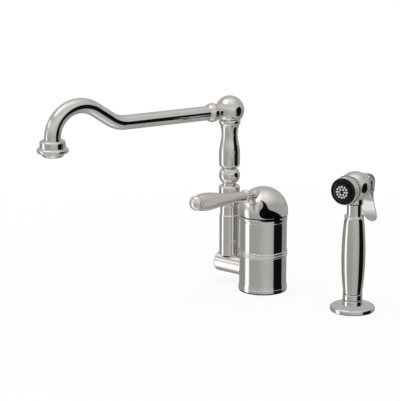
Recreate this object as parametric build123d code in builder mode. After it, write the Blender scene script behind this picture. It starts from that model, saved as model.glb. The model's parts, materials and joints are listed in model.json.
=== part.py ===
"""Two-piece kitchen tap: a single-lever column-spout mixer and its side spray.

Frame: millimetres, +Z up, z = 0 is the sink deck. The origin is the centre of
the mixer body's underside. +X runs from the column through the body to the
spray, and -Y is the side where the user stands.
"""

from build123d import *
from math import acos, asin, atan2, cos, degrees, pi, radians, sin, sqrt, tan
import os

os.makedirs("parts", exist_ok=True)

# Clearances
seat_gap = 0.05
body_fit = 0.20
running_gap = 0.08
slide_gap = 0.30
swing_gap = 0.40
body_gap = 1.50

# Mixer body
body_radius = 27.2
body_height = 87.9
body_wall = 2.2
foot_proud = 0.8
foot_band = 4.6
foot_cove = 4.6
foot_edge = 0.6
bead_proud = 0.8
bead_pitch = 3.2
bead_middle = 44.8
ring_height = 5.6
ring_proud = 0.5
gasket_thickness = 1.0
gasket_width = 4.0

# Supply block in the foot of the body
block_drop = 47.9
stud_radius = 5.0
stud_depth = 16.0
port_radius = 4.6
port_pitch_radius = 13.5
inlet_bearing = 240.0
inlet_spread = 60.0
port_depth = 12.0
passage_radius = 3.2
outlet_passage_radius = 5.0

# Mixing cartridge
cartridge_radius = 20.0
cartridge_floor = 6.0
cartridge_height = 31.0
cartridge_neck_radius = 16.8
cartridge_neck = 5.0
cartridge_bore = 15.0
seal_width = 1.3
seal_height = 1.2
disc_thickness = 3.0
disc_radius = 11.8
disc_port_circle = 11.2
disc_port_radius = 2.2
mixing_pocket_radius = 8.0
carrier_height = 5.0
carrier_skin = 0.3
ball_gap = 0.35
rotor_bottom_gap = 0.6
rotor_top_gap = 0.6
stem_width = 8.0
stem_drop = 7.0
stem_ball_radius = 2.5
stem_ankle_radius = 1.7
stem_foot = 3.4
stem_top_rise = 42.0
pivot_pin_radius = 1.5
pivot_pin_half = 13.0
nut_radius = 23.6
nut_height = 9.0
nut_slots = 6
nut_slot_width = 4.0
nut_slot_depth = 3.0
bonnet_bore = 22.0
bonnet_proud = 2.2
bonnet_edge = 0.5

# Lever handle
pivot_drop = 25.9
open_lift = 22.0
dome_overhang = 1.2
dome_wall = 1.5
dome_drop = 3.35
dome_key_radius = 1.9
hub_radius = 9.0
hub_rise = 25.4
hub_screw_rise = 33.0
lever_rise = 50.7
lever_pitch = 5.5
lever_spigot_radius = 3.2
lever_spigot_start = 3.0
lever_root_inset = 9.3
lever_root_radius = 6.2
lever_neck_radius = 4.5
lever_shoulder_radius = 5.2
lever_rod_inset = 3.0
lever_rod_tail = 6.5
lever_rod_radius = 2.0
lever_bead_radius = 7.4
lever_neck_length = 12.4
lever_bead_length = 5.2
grip_start_radius = 5.6
grip_waist_length = 8.4
grip_waist_radius = 5.7
grip_middle_radius = 7.0
grip_bulge_radius = 9.9
grip_body_length = 59.0
grip_tail_length = 13.5
grip_end_radius = 8.3
button_radius = 8.0
button_groove = 0.6
button_band = 2.2
button_crown = 5.2
lever_screw_radius = 2.0
lever_screw_length = 4.6
lever_screw_key = 2.0

# Link pipe from body to column
pipe_radius = 11.6
pipe_wall = 2.6
pipe_height = 22.7
pipe_overhang = 15.0
pipe_step_gap = 2.8
pipe_spigot_radius = 8.4
pipe_spigot_reach = 6.0
end_cap_thickness = 4.5
end_cap_round = 2.2
end_cap_plug = 2.5

# Diverter inside the link pipe
diverter_rod_radius = 2.0
diverter_rod_gap = 1.5
diverter_piston_length = 5.0
diverter_travel = 4.0
diverter_seat_thickness = 2.5

# Column
column_gap = 22.8
column_radius = 11.5
column_seat_rise = 10.1
column_wall = 2.0
column_edge = 0.6
waist_radius = 10.6
waist_foot_length = 6.2
waist_flare_length = 6.4
shoulder_length = 22.0
shoulder_round = 3.0
shoulder_radius = 12.2
groove_radius = 7.9
groove_height = 2.2
ball_over_shoulder = 12.0
bead_ball_radius = 12.1
belly_over_ball = 14.0
vase_belly_length = 11.8
vase_belly_radius = 12.1
vase_taper_length = 17.1
vase_neck_radius = 9.7
vase_lip_radius = 12.0
vase_flare_length = 18.1
collar_radius = 12.5
collar_height = 4.4
riser_radius = 7.0
riser_bore = 5.4
riser_foot_rise = 4.8
riser_inset = 6.6

# Spout hub and swivel
hub_ball_height = 204.0
hub_seat_drop = 10.2
spout_drop = 1.0
spout_turn = 19.0
hub_ball_radius = 16.6
hub_bore = 10.0
hub_bore_rise = 8.0
swivel_washer_thickness = 0.8
nipple_radius = 9.3
nipple_end_gap = 1.5
nipple_bore = 5.4
nipple_spigot = 8.0
nipple_port_radius = 3.2
seal_radius = 0.9
seal_groove_depth = 1.2
lower_seal_rise = 1.8
upper_seal_drop = 1.9
retainer_rise = 4.8
retainer_radius = 1.6
retainer_groove_depth = 1.2
retainer_key = 1.6

# Spout
stub_radius = 8.9
stub_end = 17.6
tube_start = 14.0
spout_bead_start = 17.6
spout_bead_end = 29.8
spout_bead_root = 8.7
spout_bead_radius = 10.9
tube_radius = 8.15
tube_end_radius = 9.3
tube_wall = 1.3
valley_start = 136.0
valley_radius = 35.0
rise_angle = 34.0
rise_length = 22.3
crest_radius = 33.1
tube_drop = 6.4

# Outlet
tube_end_gap = 0.6125
bell_socket_depth = 5.4
bell_shoulder_radius = 14.2
bell_shoulder_round = 2.6
bell_bead_rise = 3.2
bell_bead_radius = 17.5
bell_bead_half = 3.0
bell_skirt = 9.0
aerator_thread_radius = 11.4
aerator_thread_length = 6.0
lip_top_radius = 13.4
lip_bottom_radius = 11.6
lip_round = 1.4
lip_height = 4.0
aerator_bore = 9.6
aerator_insert_inset = 0.8
aerator_rim = 1.4
jet_radius = 1.1
screen_hole_radius = 0.6
screen_pitch = 2.3
screen_count = 7
screen_thickness = 0.8
jet_circle = 6.2
jet_count = 10
aerator_washer_thickness = 2.0

# Side spray holder on the deck
spray_offset = 126.0
flange_radius = 24.8
flange_edge = 3.4
flange_crown = 1.0
flange_gasket_thickness = 0.8
holder_radius = 11.2
holder_spigot = 10.2
liner_seat_radius = 9.3
holder_top = 12.0
holder_thread_radius = 8.9
holder_thread_depth = 4.4
liner_bore = 7.9
liner_inset = 0.4

# Hand spray
nose_radius = 7.5
nose_bottom = 5.4
ferrule_radius = 10.9
ferrule_height = 6.8
hose_thread_radius = 4.8
hose_thread_depth = 9.0
hose_passage = 3.0
swivel_stem_radius = 4.6
swivel_stem_height = 7.9
grip_foot_radius = 10.4
grip_belly_radius = 13.2
grip_belly_height = 62.0
grip_head_radius = 10.8
grip_top = 103.4
grip_wall = 1.6
grip_floor = 3.0
rim_radius = 11.3
rim_root_radius = 10.2
rim_top = 107.8
rim_edge = 0.5
neck_radius = 8.2
neck_bore = 4.2
neck_spigot = 8.0
neck_reach = 13.6
head_height = 140.6
head_radius = 16.6
head_collar_radius = 9.6
head_collar_drop = 18.6
spray_heading = 10.0
front_boss_radius = 13.0
front_boss_end = 20.0
front_chamber_radius = 11.5
front_chamber_start = 8.0
nozzle_ring_radius = 15.2
nozzle_ring_end = 29.6
nozzle_ring_wall = 0.9
nozzle_ring_floor = 1.8
nozzle_ring_bore = 8.8
nozzle_spigot = 6.0
face_edge_end = 27.8
face_crown = 1.6
face_disc_radius = 9.2
face_disc_end = 32.4
face_disc_crown = 0.6
face_front_wall = 2.0
nub_radius = 1.0
nub_proud = 0.7
nub_jet_radius = 0.35
nub_mat_radius = 7.8
nub_mat_thickness = 1.0
outer_nub_circle = 5.9
inner_nub_circle = 3.2
outer_nubs = 12
inner_nubs = 6

# Valve and trigger in the spray head
rear_boss_radius = 8.6
rear_boss_end = 23.6
lug_width = 16.0
lug_front = 12.0
hinge_back = 18.2
hinge_rise = 6.2
hinge_round = 3.4
hinge_pin_radius = 1.4
plunger_drop = 3.6
plunger_radius = 2.4
plunger_collar_radius = 4.2
plunger_collar_width = 1.0
plunger_collar_back = 11.6
squeeze_angle = 12.0
valve_radius = 5.2
valve_floor = 4.4
valve_passage = 3.5
spring_radius = 4.0
spring_wall = 0.6
trigger_thickness = 1.6
trigger_rise = 3.6
trigger_top_back = 26.5
trigger_shoulder_drop = 3.4
trigger_face_back = 30.4
trigger_waist_drop = 13.6
trigger_waist_back = 29.9
trigger_waist_half_width = 8.4
trigger_leaf_drop = 31.6
trigger_leaf_back = 35.4
trigger_leaf_half_width = 8.6
trigger_tip_drop = 49.8
trigger_tip_back = 47.4
ear_thickness = 1.4
ear_radius = 3.2
ear_front_back = 26.7
ear_shoulder_back = 25.5
ear_foot_drop = 10.6
ear_foot_back = 28.4


def upright(x_place):
    """Drawing plane through a vertical axis: across is X, up is Z."""
    return Plane(origin=(x_place, 0, 0), x_dir=(1, 0, 0), z_dir=(0, -1, 0))


def vertical(x_place):
    """The vertical axis that an upright piece is turned about."""
    return Axis((x_place, 0, 0), (0, 0, 1))


def save(piece, name):
    """Label a finished piece and write it under its own name."""
    piece.part.label = name
    export_step(piece.part, f"parts/{name}.step")


def inlets(radius):
    """Places of the two inlets, side by side under the lever's front."""
    return PolarLocations(
        radius, 2, start_angle=inlet_bearing, angular_range=2 * inlet_spread
    )


# Derived places shared by neighbouring pieces
body_bore = body_radius - body_wall
foot_radius = body_radius + foot_proud
dome_radius = body_radius + dome_overhang
pipe_step = body_radius + pipe_step_gap
diverter_rod_end = pipe_step + diverter_rod_gap
column_offset = body_radius + column_gap
pipe_end = -column_offset - pipe_overhang
pipe_bore = pipe_radius - pipe_wall
block_top = body_height - block_drop
pivot_height = body_height - pivot_drop
cartridge_shoulder = block_top + cartridge_height
cartridge_top = cartridge_shoulder + cartridge_neck
disc_floor = block_top + cartridge_floor
moving_disc_floor = disc_floor + disc_thickness
carrier_floor = moving_disc_floor + disc_thickness
rotor_bottom = carrier_floor + carrier_height + rotor_bottom_gap
rotor_top = cartridge_top - rotor_top_gap
nut_top = cartridge_shoulder + nut_height

# Places along the lever, counted from the dome outwards
lever_root_start = dome_radius - lever_root_inset
lever_rod_start = lever_root_start + lever_rod_inset
lever_bead_start = lever_root_start + lever_neck_length
lever_bead_end = lever_bead_start + lever_bead_length
grip_waist_place = lever_bead_end + grip_waist_length
grip_bulge_place = grip_waist_place + grip_body_length
grip_end_place = grip_bulge_place + grip_tail_length
lever_rod_end = grip_end_place - lever_rod_tail

# Heights on the column, stacked down from the hub's ball to the tube that takes the rest
hub_bottom = hub_ball_height - hub_seat_drop
collar_top = hub_bottom - swivel_washer_thickness
vase_top = collar_top - collar_height
vase_neck_height = vase_top - vase_flare_length
vase_belly_top = vase_neck_height - vase_taper_length
vase_belly_bottom = vase_belly_top - vase_belly_length
bead_ball_height = vase_belly_bottom - belly_over_ball
shoulder_top = bead_ball_height - ball_over_shoulder
shoulder_bottom = shoulder_top - shoulder_length
waist_height = shoulder_bottom - waist_flare_length
column_tube_top = waist_height - waist_foot_length
column_bottom = pipe_height + column_seat_rise
riser_bottom = pipe_height + riser_foot_rise
riser_top = vase_top - riser_inset

# Heights in the swivel, all taken from the hub
spout_height = hub_ball_height - spout_drop
hub_bore_top = hub_ball_height + hub_bore_rise
nipple_top = hub_bore_top - nipple_end_gap
lower_seal_height = hub_bottom + lower_seal_rise
upper_seal_height = nipple_top - upper_seal_drop
retainer_height = hub_bottom + retainer_rise

# Lever closed at rest: the dome sits level over the pivot and the lever leans up
pivot_point = (0, 0, pivot_height)
handle_back = (0, 1, 0)
lever_front = (0, -cos(radians(lever_pitch)), sin(radians(lever_pitch)))
handle_turned = Plane(origin=pivot_point, x_dir=(1, 0, 0), z_dir=(0, -1, 0))
handle_side = Plane(origin=pivot_point, x_dir=(0, -1, 0), z_dir=(-1, 0, 0))
handle_axis = Axis(pivot_point, (0, 0, 1))
rim_rise = body_height + body_gap - pivot_height
dome_rise = rim_rise + dome_drop
dome_inner = dome_radius - dome_wall
dome_centre = handle_side.from_local_coords((0, dome_rise, 0))
lever_axis = Axis(handle_side.from_local_coords((0, lever_rise, 0)), lever_front)
screw_seat = handle_side.from_local_coords((0, hub_screw_rise, 0))
screw_plane = Plane(screw_seat, z_dir=handle_back)

# Mixer body shell
with BuildPart() as body_shell:
    with BuildSketch(Plane.XZ):
        with BuildLine():
            foot_inner = (body_bore, gasket_thickness)
            foot_round = (foot_radius, gasket_thickness + foot_edge)
            band_end = (foot_radius, foot_band)
            cove_end = (body_radius, foot_band + foot_cove)
            bead_low = bead_middle - bead_pitch
            bead_high = bead_middle + bead_pitch
            ring_low = body_height - ring_height
            Polyline(
                foot_inner,
                (foot_radius - foot_edge, gasket_thickness),
                foot_round,
                band_end,
                (foot_radius - foot_edge / 2, foot_band + foot_edge / 2),
                cove_end,
                (body_radius, bead_low),
            )
            for low in (bead_low, bead_middle):
                ThreePointArc(
                    (body_radius, low),
                    (body_radius + bead_proud, low + bead_pitch / 2),
                    (body_radius, low + bead_pitch),
                )
            Line((body_radius, bead_high), (body_radius, ring_low))
            ThreePointArc(
                (body_radius, ring_low),
                (body_radius + ring_proud, body_height - ring_height / 2),
                (body_radius, body_height),
            )
            Polyline(
                (body_radius, body_height),
                (nut_radius, body_height),
                (nut_radius, cartridge_shoulder),
                (cartridge_radius + body_fit, cartridge_shoulder),
                (cartridge_radius + body_fit, block_top),
                (body_bore, block_top),
                foot_inner,
            )
        make_face()
    revolve(axis=Axis.Z)
    with BuildSketch(Plane.YZ.offset(-foot_radius)):
        with Locations((0, pipe_height)):
            Circle(pipe_spigot_radius + seat_gap)
    extrude(amount=foot_radius, mode=Mode.SUBTRACT)
save(body_shell, "body_shell")

# Rubber ring between the foot and the deck
with BuildPart() as body_gasket:
    with BuildSketch(Plane.XY):
        Circle(foot_radius - foot_edge)
        Circle(foot_radius - foot_edge - gasket_width, mode=Mode.SUBTRACT)
    extrude(amount=gasket_thickness)
save(body_gasket, "body_gasket")

# Brass supply block: stud hole, three hose ports, passages to cartridge and pipe
with BuildPart() as supply_block:
    with BuildSketch(Plane.XY):
        Circle(foot_radius - foot_edge - gasket_width - seat_gap)
    extrude(amount=gasket_thickness)
    with BuildSketch(Plane.XY.offset(gasket_thickness)):
        Circle(body_bore - seat_gap)
    extrude(amount=block_top - gasket_thickness)
    with Locations(Plane.XY.rotated((180, 0, 0))):
        Hole(stud_radius, depth=stud_depth)
        with Locations((0, -port_pitch_radius)):
            Hole(port_radius, depth=port_depth)
    with BuildSketch(Plane.XY):
        with inlets(port_pitch_radius):
            Circle(port_radius)
    extrude(amount=port_depth, mode=Mode.SUBTRACT)
    with BuildSketch(Plane.XY.offset(block_top)):
        with inlets(port_pitch_radius):
            Circle(passage_radius)
    extrude(amount=-(block_top - port_depth), mode=Mode.SUBTRACT)
    with BuildSketch(Plane.XY.offset(block_top)):
        Circle(outlet_passage_radius)
    extrude(amount=-(block_top - pipe_height), mode=Mode.SUBTRACT)
    with BuildSketch(Plane.YZ):
        with Locations((0, pipe_height)):
            Circle(outlet_passage_radius)
    extrude(amount=-body_radius, mode=Mode.SUBTRACT)
    with BuildSketch(Plane.YZ.offset(-body_bore + pipe_spigot_reach)):
        with Locations((0, pipe_height)):
            Circle(pipe_spigot_radius + seat_gap)
    extrude(amount=-body_bore, mode=Mode.SUBTRACT)
    with BuildSketch(Plane.XZ):
        with Locations((0, pipe_height)):
            Circle(passage_radius)
    extrude(amount=-port_pitch_radius, mode=Mode.SUBTRACT)
    with BuildSketch(Plane.XY.offset(port_depth)):
        with Locations((0, port_pitch_radius)):
            Circle(passage_radius)
    extrude(amount=pipe_height - port_depth, mode=Mode.SUBTRACT)
save(supply_block, "supply_block")

# Cartridge housing with three ports in its floor
with BuildPart() as cartridge_housing:
    with BuildSketch(Plane.XY.offset(block_top)):
        Circle(cartridge_radius)
    extrude(amount=cartridge_height)
    with BuildSketch(Plane.XY.offset(cartridge_shoulder)):
        Circle(cartridge_neck_radius)
    extrude(amount=cartridge_neck)
    with BuildSketch(Plane.XY.offset(disc_floor)):
        Circle(cartridge_bore)
    extrude(amount=cartridge_top - disc_floor, mode=Mode.SUBTRACT)
    with BuildSketch(Plane.XY.offset(block_top)):
        Circle(passage_radius)
        with inlets(port_pitch_radius):
            Circle(passage_radius)
    extrude(amount=cartridge_floor, mode=Mode.SUBTRACT)
    with BuildSketch(Plane.XY.offset(block_top)):
        Circle(passage_radius + seal_width)
        with inlets(port_pitch_radius):
            Circle(passage_radius + seal_width)
    extrude(amount=seal_height, mode=Mode.SUBTRACT)
save(cartridge_housing, "cartridge_housing")

# Three port seals pressed between housing and supply block
with BuildPart() as port_seals:
    with BuildSketch(Plane.XY.offset(block_top)):
        with Locations((0, 0)):
            Circle(passage_radius + seal_width)
            Circle(passage_radius, mode=Mode.SUBTRACT)
        with inlets(port_pitch_radius):
            Circle(passage_radius + seal_width)
            Circle(passage_radius, mode=Mode.SUBTRACT)
    extrude(amount=seal_height)
save(port_seals, "port_seals")

# Fixed ceramic disc
with BuildPart() as fixed_disc:
    with BuildSketch(Plane.XY.offset(disc_floor)):
        Circle(cartridge_bore - seat_gap)
        Circle(passage_radius, mode=Mode.SUBTRACT)
        with inlets(disc_port_circle):
            Circle(disc_port_radius, mode=Mode.SUBTRACT)
    extrude(amount=disc_thickness)
save(fixed_disc, "fixed_disc")

# Moving ceramic disc with its mixing pocket
with BuildPart() as moving_disc:
    with BuildSketch(Plane.XY.offset(moving_disc_floor)):
        Circle(disc_radius)
    extrude(amount=disc_thickness)
    with BuildSketch(Plane.XY.offset(moving_disc_floor)):
        Circle(mixing_pocket_radius)
    extrude(amount=disc_thickness / 2, mode=Mode.SUBTRACT)
save(moving_disc, "moving_disc")

# Disc carrier with the pocket that the stem's ball pushes
with BuildPart() as disc_carrier:
    with BuildSketch(Plane.XY.offset(carrier_floor)):
        Circle(disc_radius)
    extrude(amount=carrier_height)
    with BuildSketch(Plane.XY.offset(carrier_floor + carrier_skin)):
        Circle(stem_ball_radius + ball_gap)
    extrude(amount=carrier_height, mode=Mode.SUBTRACT)
save(disc_carrier, "disc_carrier")

# Cartridge rotor: turns with the lever and carries the stem's pivot pin
stem_half = stem_width / 2
slot_half = stem_half + swing_gap
open_sin = sin(radians(open_lift))
open_cos = cos(radians(open_lift))
rotor_rise = rotor_top - pivot_height
rotor_sink = pivot_height - rotor_bottom
with BuildPart() as cartridge_rotor:
    with BuildSketch(Plane.XY.offset(rotor_bottom)):
        Circle(cartridge_bore - slide_gap)
    extrude(amount=rotor_top - rotor_bottom)
    with BuildSketch(Plane.YZ.offset(-slot_half)):
        with BuildLine():
            Polyline(
                (-slot_half, rotor_top),
                (-slot_half / open_cos, pivot_height),
                (-(slot_half + rotor_sink * open_sin) / open_cos, rotor_bottom),
                (slot_half, rotor_bottom),
                (slot_half / open_cos, pivot_height),
                ((slot_half + rotor_rise * open_sin) / open_cos, rotor_top),
                close=True,
            )
        make_face()
    extrude(amount=2 * slot_half, mode=Mode.SUBTRACT)
    with BuildSketch(Plane.YZ.offset(-cartridge_bore)):
        with Locations((0, pivot_height)):
            Circle(pivot_pin_radius + seat_gap)
    extrude(amount=2 * cartridge_bore, mode=Mode.SUBTRACT)
save(cartridge_rotor, "cartridge_rotor")

# Pivot pin across the rotor
with BuildPart() as pivot_pin:
    with BuildSketch(Plane.YZ.offset(-pivot_pin_half)):
        with Locations((0, pivot_height)):
            Circle(pivot_pin_radius)
    extrude(amount=2 * pivot_pin_half)
save(pivot_pin, "pivot_pin")

# Square cartridge stem with a ball at its foot
with BuildPart() as cartridge_stem:
    with BuildSketch(handle_side.offset(-stem_half)):
        with BuildLine():
            Polyline(
                (-stem_half, -stem_foot),
                (stem_half, -stem_foot),
                (stem_half, stem_top_rise),
                (-stem_half, stem_top_rise),
                close=True,
            )
        make_face()
    extrude(amount=stem_width)
    with BuildSketch(handle_turned):
        with BuildLine():
            ball_side = (0, -stem_drop - stem_ball_radius)
            neck_join = sqrt(stem_ball_radius**2 - stem_ankle_radius**2)
            ThreePointArc(
                ball_side,
                (stem_ball_radius, -stem_drop),
                (stem_ankle_radius, -stem_drop + neck_join),
            )
            Polyline(
                (stem_ankle_radius, -stem_drop + neck_join),
                (stem_ankle_radius, -stem_foot),
                (0, -stem_foot),
                ball_side,
            )
        make_face()
    revolve(axis=handle_axis)
    with BuildSketch(Plane.YZ.offset(-stem_half)):
        with Locations((0, pivot_height)):
            Circle(pivot_pin_radius + running_gap)
    extrude(amount=stem_width, mode=Mode.SUBTRACT)
save(cartridge_stem, "cartridge_stem")

# Slotted brass nut that clamps the cartridge
with BuildPart() as cartridge_nut:
    with BuildSketch(Plane.XY.offset(cartridge_shoulder)):
        Circle(nut_radius - seat_gap)
        Circle(cartridge_neck_radius + seat_gap, mode=Mode.SUBTRACT)
    extrude(amount=nut_height)
    with BuildSketch(Plane.XY.offset(nut_top)):
        with PolarLocations((nut_radius + cartridge_neck_radius) / 2, nut_slots):
            Rectangle(nut_radius, nut_slot_width)
        Circle(cartridge_neck_radius - nut_slot_width, mode=Mode.SUBTRACT)
    extrude(amount=-nut_slot_depth, mode=Mode.SUBTRACT)
save(cartridge_nut, "cartridge_nut")

# Polished bonnet ring seen in the gap under the dome
with BuildPart() as bonnet_ring:
    with BuildSketch(Plane.XY.offset(nut_top)):
        Circle(nut_radius - seat_gap)
        Circle(bonnet_bore, mode=Mode.SUBTRACT)
    extrude(amount=body_height + bonnet_proud - nut_top)
    chamfer(bonnet_ring.edges().group_by(Axis.Z)[-1], bonnet_edge)
save(bonnet_ring, "bonnet_ring")

# Dome cap of the lever
with BuildPart() as dome_cap:
    with BuildSketch(handle_turned):
        with BuildLine():
            outer_rim = (sqrt(dome_radius**2 - dome_drop**2), rim_rise)
            inner_rim = (sqrt(dome_inner**2 - dome_drop**2), rim_rise)
            half = cos(pi / 4)
            ThreePointArc(
                outer_rim,
                (dome_radius * half, dome_rise + dome_radius * half),
                (0, dome_rise + dome_radius),
            )
            Line((0, dome_rise + dome_radius), (0, dome_rise + dome_inner))
            ThreePointArc(
                (0, dome_rise + dome_inner),
                (dome_inner * half, dome_rise + dome_inner * half),
                inner_rim,
            )
            Line(inner_rim, outer_rim)
        make_face()
    revolve(axis=handle_axis)
    with BuildSketch(Plane(lever_axis.position, z_dir=lever_front)):
        Circle(lever_spigot_radius + seat_gap)
    extrude(amount=dome_radius, mode=Mode.SUBTRACT)
    with BuildSketch(screw_plane):
        Circle(dome_key_radius)
    extrude(amount=dome_radius, mode=Mode.SUBTRACT)
save(dome_cap, "dome_cap")

# Hub inside the dome: square socket for the stem, thread for the lever
with BuildPart() as handle_hub:
    with BuildSketch(handle_turned):
        with BuildLine():
            hub_shoulder = (hub_radius, dome_rise + sqrt(dome_inner**2 - hub_radius**2))
            Polyline((0, hub_rise), (hub_radius, hub_rise), hub_shoulder)
            ThreePointArc(
                hub_shoulder,
                (hub_radius / 2, dome_rise + sqrt(dome_inner**2 - hub_radius**2 / 4)),
                (0, dome_rise + dome_inner),
            )
            Line((0, dome_rise + dome_inner), (0, hub_rise))
        make_face()
    revolve(axis=handle_axis)
    with BuildSketch(handle_side.offset(-stem_half - seat_gap)):
        with Locations((0, (hub_rise + stem_top_rise + seat_gap) / 2)):
            Rectangle(stem_width + 2 * seat_gap, stem_top_rise + seat_gap - hub_rise)
    extrude(amount=stem_width + 2 * seat_gap, mode=Mode.SUBTRACT)
    with BuildSketch(Plane(lever_axis.position, z_dir=lever_front)):
        Circle(lever_spigot_radius + seat_gap)
    extrude(amount=dome_radius, mode=Mode.SUBTRACT)
    with BuildSketch(screw_plane):
        Circle(lever_screw_radius + seat_gap)
    extrude(amount=hub_radius, mode=Mode.SUBTRACT)
save(handle_hub, "handle_hub")

# Neck that screws into the hub through the dome's front
lever_plane = Plane(lever_axis.position, x_dir=lever_front, z_dir=(-1, 0, 0))
with BuildPart() as lever_neck:
    with BuildSketch(lever_plane):
        with BuildLine():
            Polyline(
                (lever_bead_start, 0),
                (hub_radius, 0),
                (hub_radius, lever_root_radius),
                (lever_root_start, lever_root_radius),
            )
            ThreePointArc(
                (lever_root_start, lever_root_radius),
                ((lever_root_start + lever_bead_start) / 2, lever_neck_radius),
                (lever_bead_start, lever_shoulder_radius),
            )
            Line((lever_bead_start, lever_shoulder_radius), (lever_bead_start, 0))
        make_face()
    revolve(axis=lever_axis)
    with Locations(dome_centre):
        Sphere(dome_radius, mode=Mode.SUBTRACT)
    with BuildSketch(lever_plane):
        with BuildLine():
            Polyline(
                (lever_spigot_start, 0),
                (lever_root_start, 0),
                (lever_root_start, lever_spigot_radius),
                (lever_spigot_start, lever_spigot_radius),
                close=True,
            )
        make_face()
    revolve(axis=lever_axis)
    with BuildSketch(Plane(lever_plane.from_local_coords((lever_rod_start, 0)), z_dir=lever_front)):
        Circle(lever_rod_radius + seat_gap)
    extrude(amount=lever_bead_end - lever_rod_start, mode=Mode.SUBTRACT)
save(lever_neck, "lever_neck")

# Turned bead ring between neck and grip
with BuildPart() as lever_bead:
    with BuildSketch(lever_plane):
        with BuildLine():
            Line((lever_bead_start, lever_rod_radius + seat_gap), (lever_bead_start, lever_shoulder_radius))
            ThreePointArc(
                (lever_bead_start, lever_shoulder_radius),
                ((lever_bead_start + lever_bead_end) / 2, lever_bead_radius),
                (lever_bead_end, grip_start_radius),
            )
            Polyline(
                (lever_bead_end, grip_start_radius),
                (lever_bead_end, lever_rod_radius + seat_gap),
                (lever_bead_start, lever_rod_radius + seat_gap),
            )
        make_face()
    revolve(axis=lever_axis)
save(lever_bead, "lever_bead")

# Swelling lever grip
with BuildPart() as lever_grip:
    with BuildSketch(lever_plane):
        with BuildLine():
            Spline(
                (lever_bead_end, grip_start_radius),
                (grip_waist_place, grip_waist_radius),
                ((grip_waist_place + grip_bulge_place) / 2, grip_middle_radius),
                (grip_bulge_place, grip_bulge_radius),
                (grip_end_place, grip_end_radius),
            )
            Polyline(
                (grip_end_place, grip_end_radius),
                (grip_end_place, 0),
                (lever_bead_end, 0),
                (lever_bead_end, grip_start_radius),
            )
        make_face()
    revolve(axis=lever_axis)
    with BuildSketch(Plane(lever_plane.from_local_coords((lever_bead_end, 0)), z_dir=lever_front)):
        Circle(lever_rod_radius + seat_gap)
    extrude(amount=lever_rod_end - lever_bead_end, mode=Mode.SUBTRACT)
save(lever_grip, "lever_grip")

# Crowned button that closes the grip's end
button_start = grip_end_place + button_groove
with BuildPart() as lever_button:
    with BuildSketch(lever_plane):
        with BuildLine():
            crown_start = button_start + button_band
            Polyline(
                (grip_end_place, 0),
                (grip_end_place, button_radius - button_groove),
                (button_start, button_radius),
                (crown_start, button_radius),
            )
            EllipticalCenterArc((crown_start, 0), button_crown, button_radius, arc_size=90)
            Line((crown_start + button_crown, 0), (grip_end_place, 0))
        make_face()
    revolve(axis=lever_axis)
save(lever_button, "lever_button")

# Steel rod that holds bead and grip on the neck
with BuildPart() as lever_rod:
    with BuildSketch(Plane(lever_plane.from_local_coords((lever_rod_start, 0)), z_dir=lever_front)):
        Circle(lever_rod_radius)
    extrude(amount=lever_rod_end - lever_rod_start)
save(lever_rod, "lever_rod")

# Grub screw that locks the hub on the stem
with BuildPart() as handle_screw:
    screw_face = handle_side.from_local_coords((-stem_half - seat_gap, hub_screw_rise, 0))
    with BuildSketch(Plane(screw_face, z_dir=handle_back)):
        Circle(lever_screw_radius)
    extrude(amount=lever_screw_length)
    with BuildSketch(Plane(screw_face, z_dir=handle_back).offset(lever_screw_length)):
        RegularPolygon(lever_screw_key / 2, 6, major_radius=False)
    extrude(amount=-lever_screw_length / 2, mode=Mode.SUBTRACT)
save(handle_screw, "handle_screw")

# Link pipe from the body to the column
with BuildPart() as link_pipe:
    with BuildSketch(Plane.YZ.offset(pipe_end + end_cap_thickness)):
        with Locations((0, pipe_height)):
            Circle(pipe_radius)
    extrude(amount=-pipe_end - end_cap_thickness)
    with BuildSketch(Plane.XY):
        Circle(body_radius)
    extrude(amount=body_height, mode=Mode.SUBTRACT)
    with BuildSketch(Plane.YZ.offset(-body_radius - pipe_wall)):
        with Locations((0, pipe_height)):
            Circle(pipe_spigot_radius)
    extrude(amount=pipe_wall + body_wall + pipe_spigot_reach - seat_gap)
    with BuildSketch(Plane.YZ.offset(pipe_end)):
        with Locations((0, pipe_height)):
            Circle(pipe_bore)
    extrude(amount=-pipe_step - pipe_end, mode=Mode.SUBTRACT)
    with BuildSketch(Plane.YZ.offset(pipe_end)):
        with Locations((0, pipe_height)):
            Circle(outlet_passage_radius)
    extrude(amount=-pipe_end, mode=Mode.SUBTRACT)
    with BuildSketch(Plane.XY.offset(pipe_height)):
        with Locations((-column_offset, 0)):
            Circle(riser_radius + seat_gap)
    extrude(amount=2 * pipe_radius, mode=Mode.SUBTRACT)
save(link_pipe, "link_pipe")

# End cap with the diverter's guide rod
with BuildPart() as pipe_end_cap:
    with BuildSketch(Plane.YZ.offset(pipe_end)):
        with Locations((0, pipe_height)):
            Circle(pipe_radius)
    extrude(amount=end_cap_thickness)
    fillet(pipe_end_cap.edges().group_by(Axis.X)[0], end_cap_round)
    with BuildSketch(Plane.YZ.offset(pipe_end + end_cap_thickness)):
        with Locations((0, pipe_height)):
            Circle(pipe_bore - seat_gap)
    extrude(amount=end_cap_plug)
    with BuildSketch(Plane.YZ.offset(pipe_end + end_cap_thickness)):
        with Locations((0, pipe_height)):
            Circle(diverter_rod_radius)
    extrude(amount=-diverter_rod_end - pipe_end - end_cap_thickness)
save(pipe_end_cap, "pipe_end_cap")

# Diverter seat pressed into the pipe
with BuildPart() as diverter_seat:
    with BuildSketch(Plane.YZ.offset(-pipe_step)):
        with Locations((0, pipe_height)):
            Circle(pipe_bore - seat_gap)
            Circle(outlet_passage_radius, mode=Mode.SUBTRACT)
    extrude(amount=-diverter_seat_thickness)
save(diverter_seat, "diverter_seat")

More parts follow.
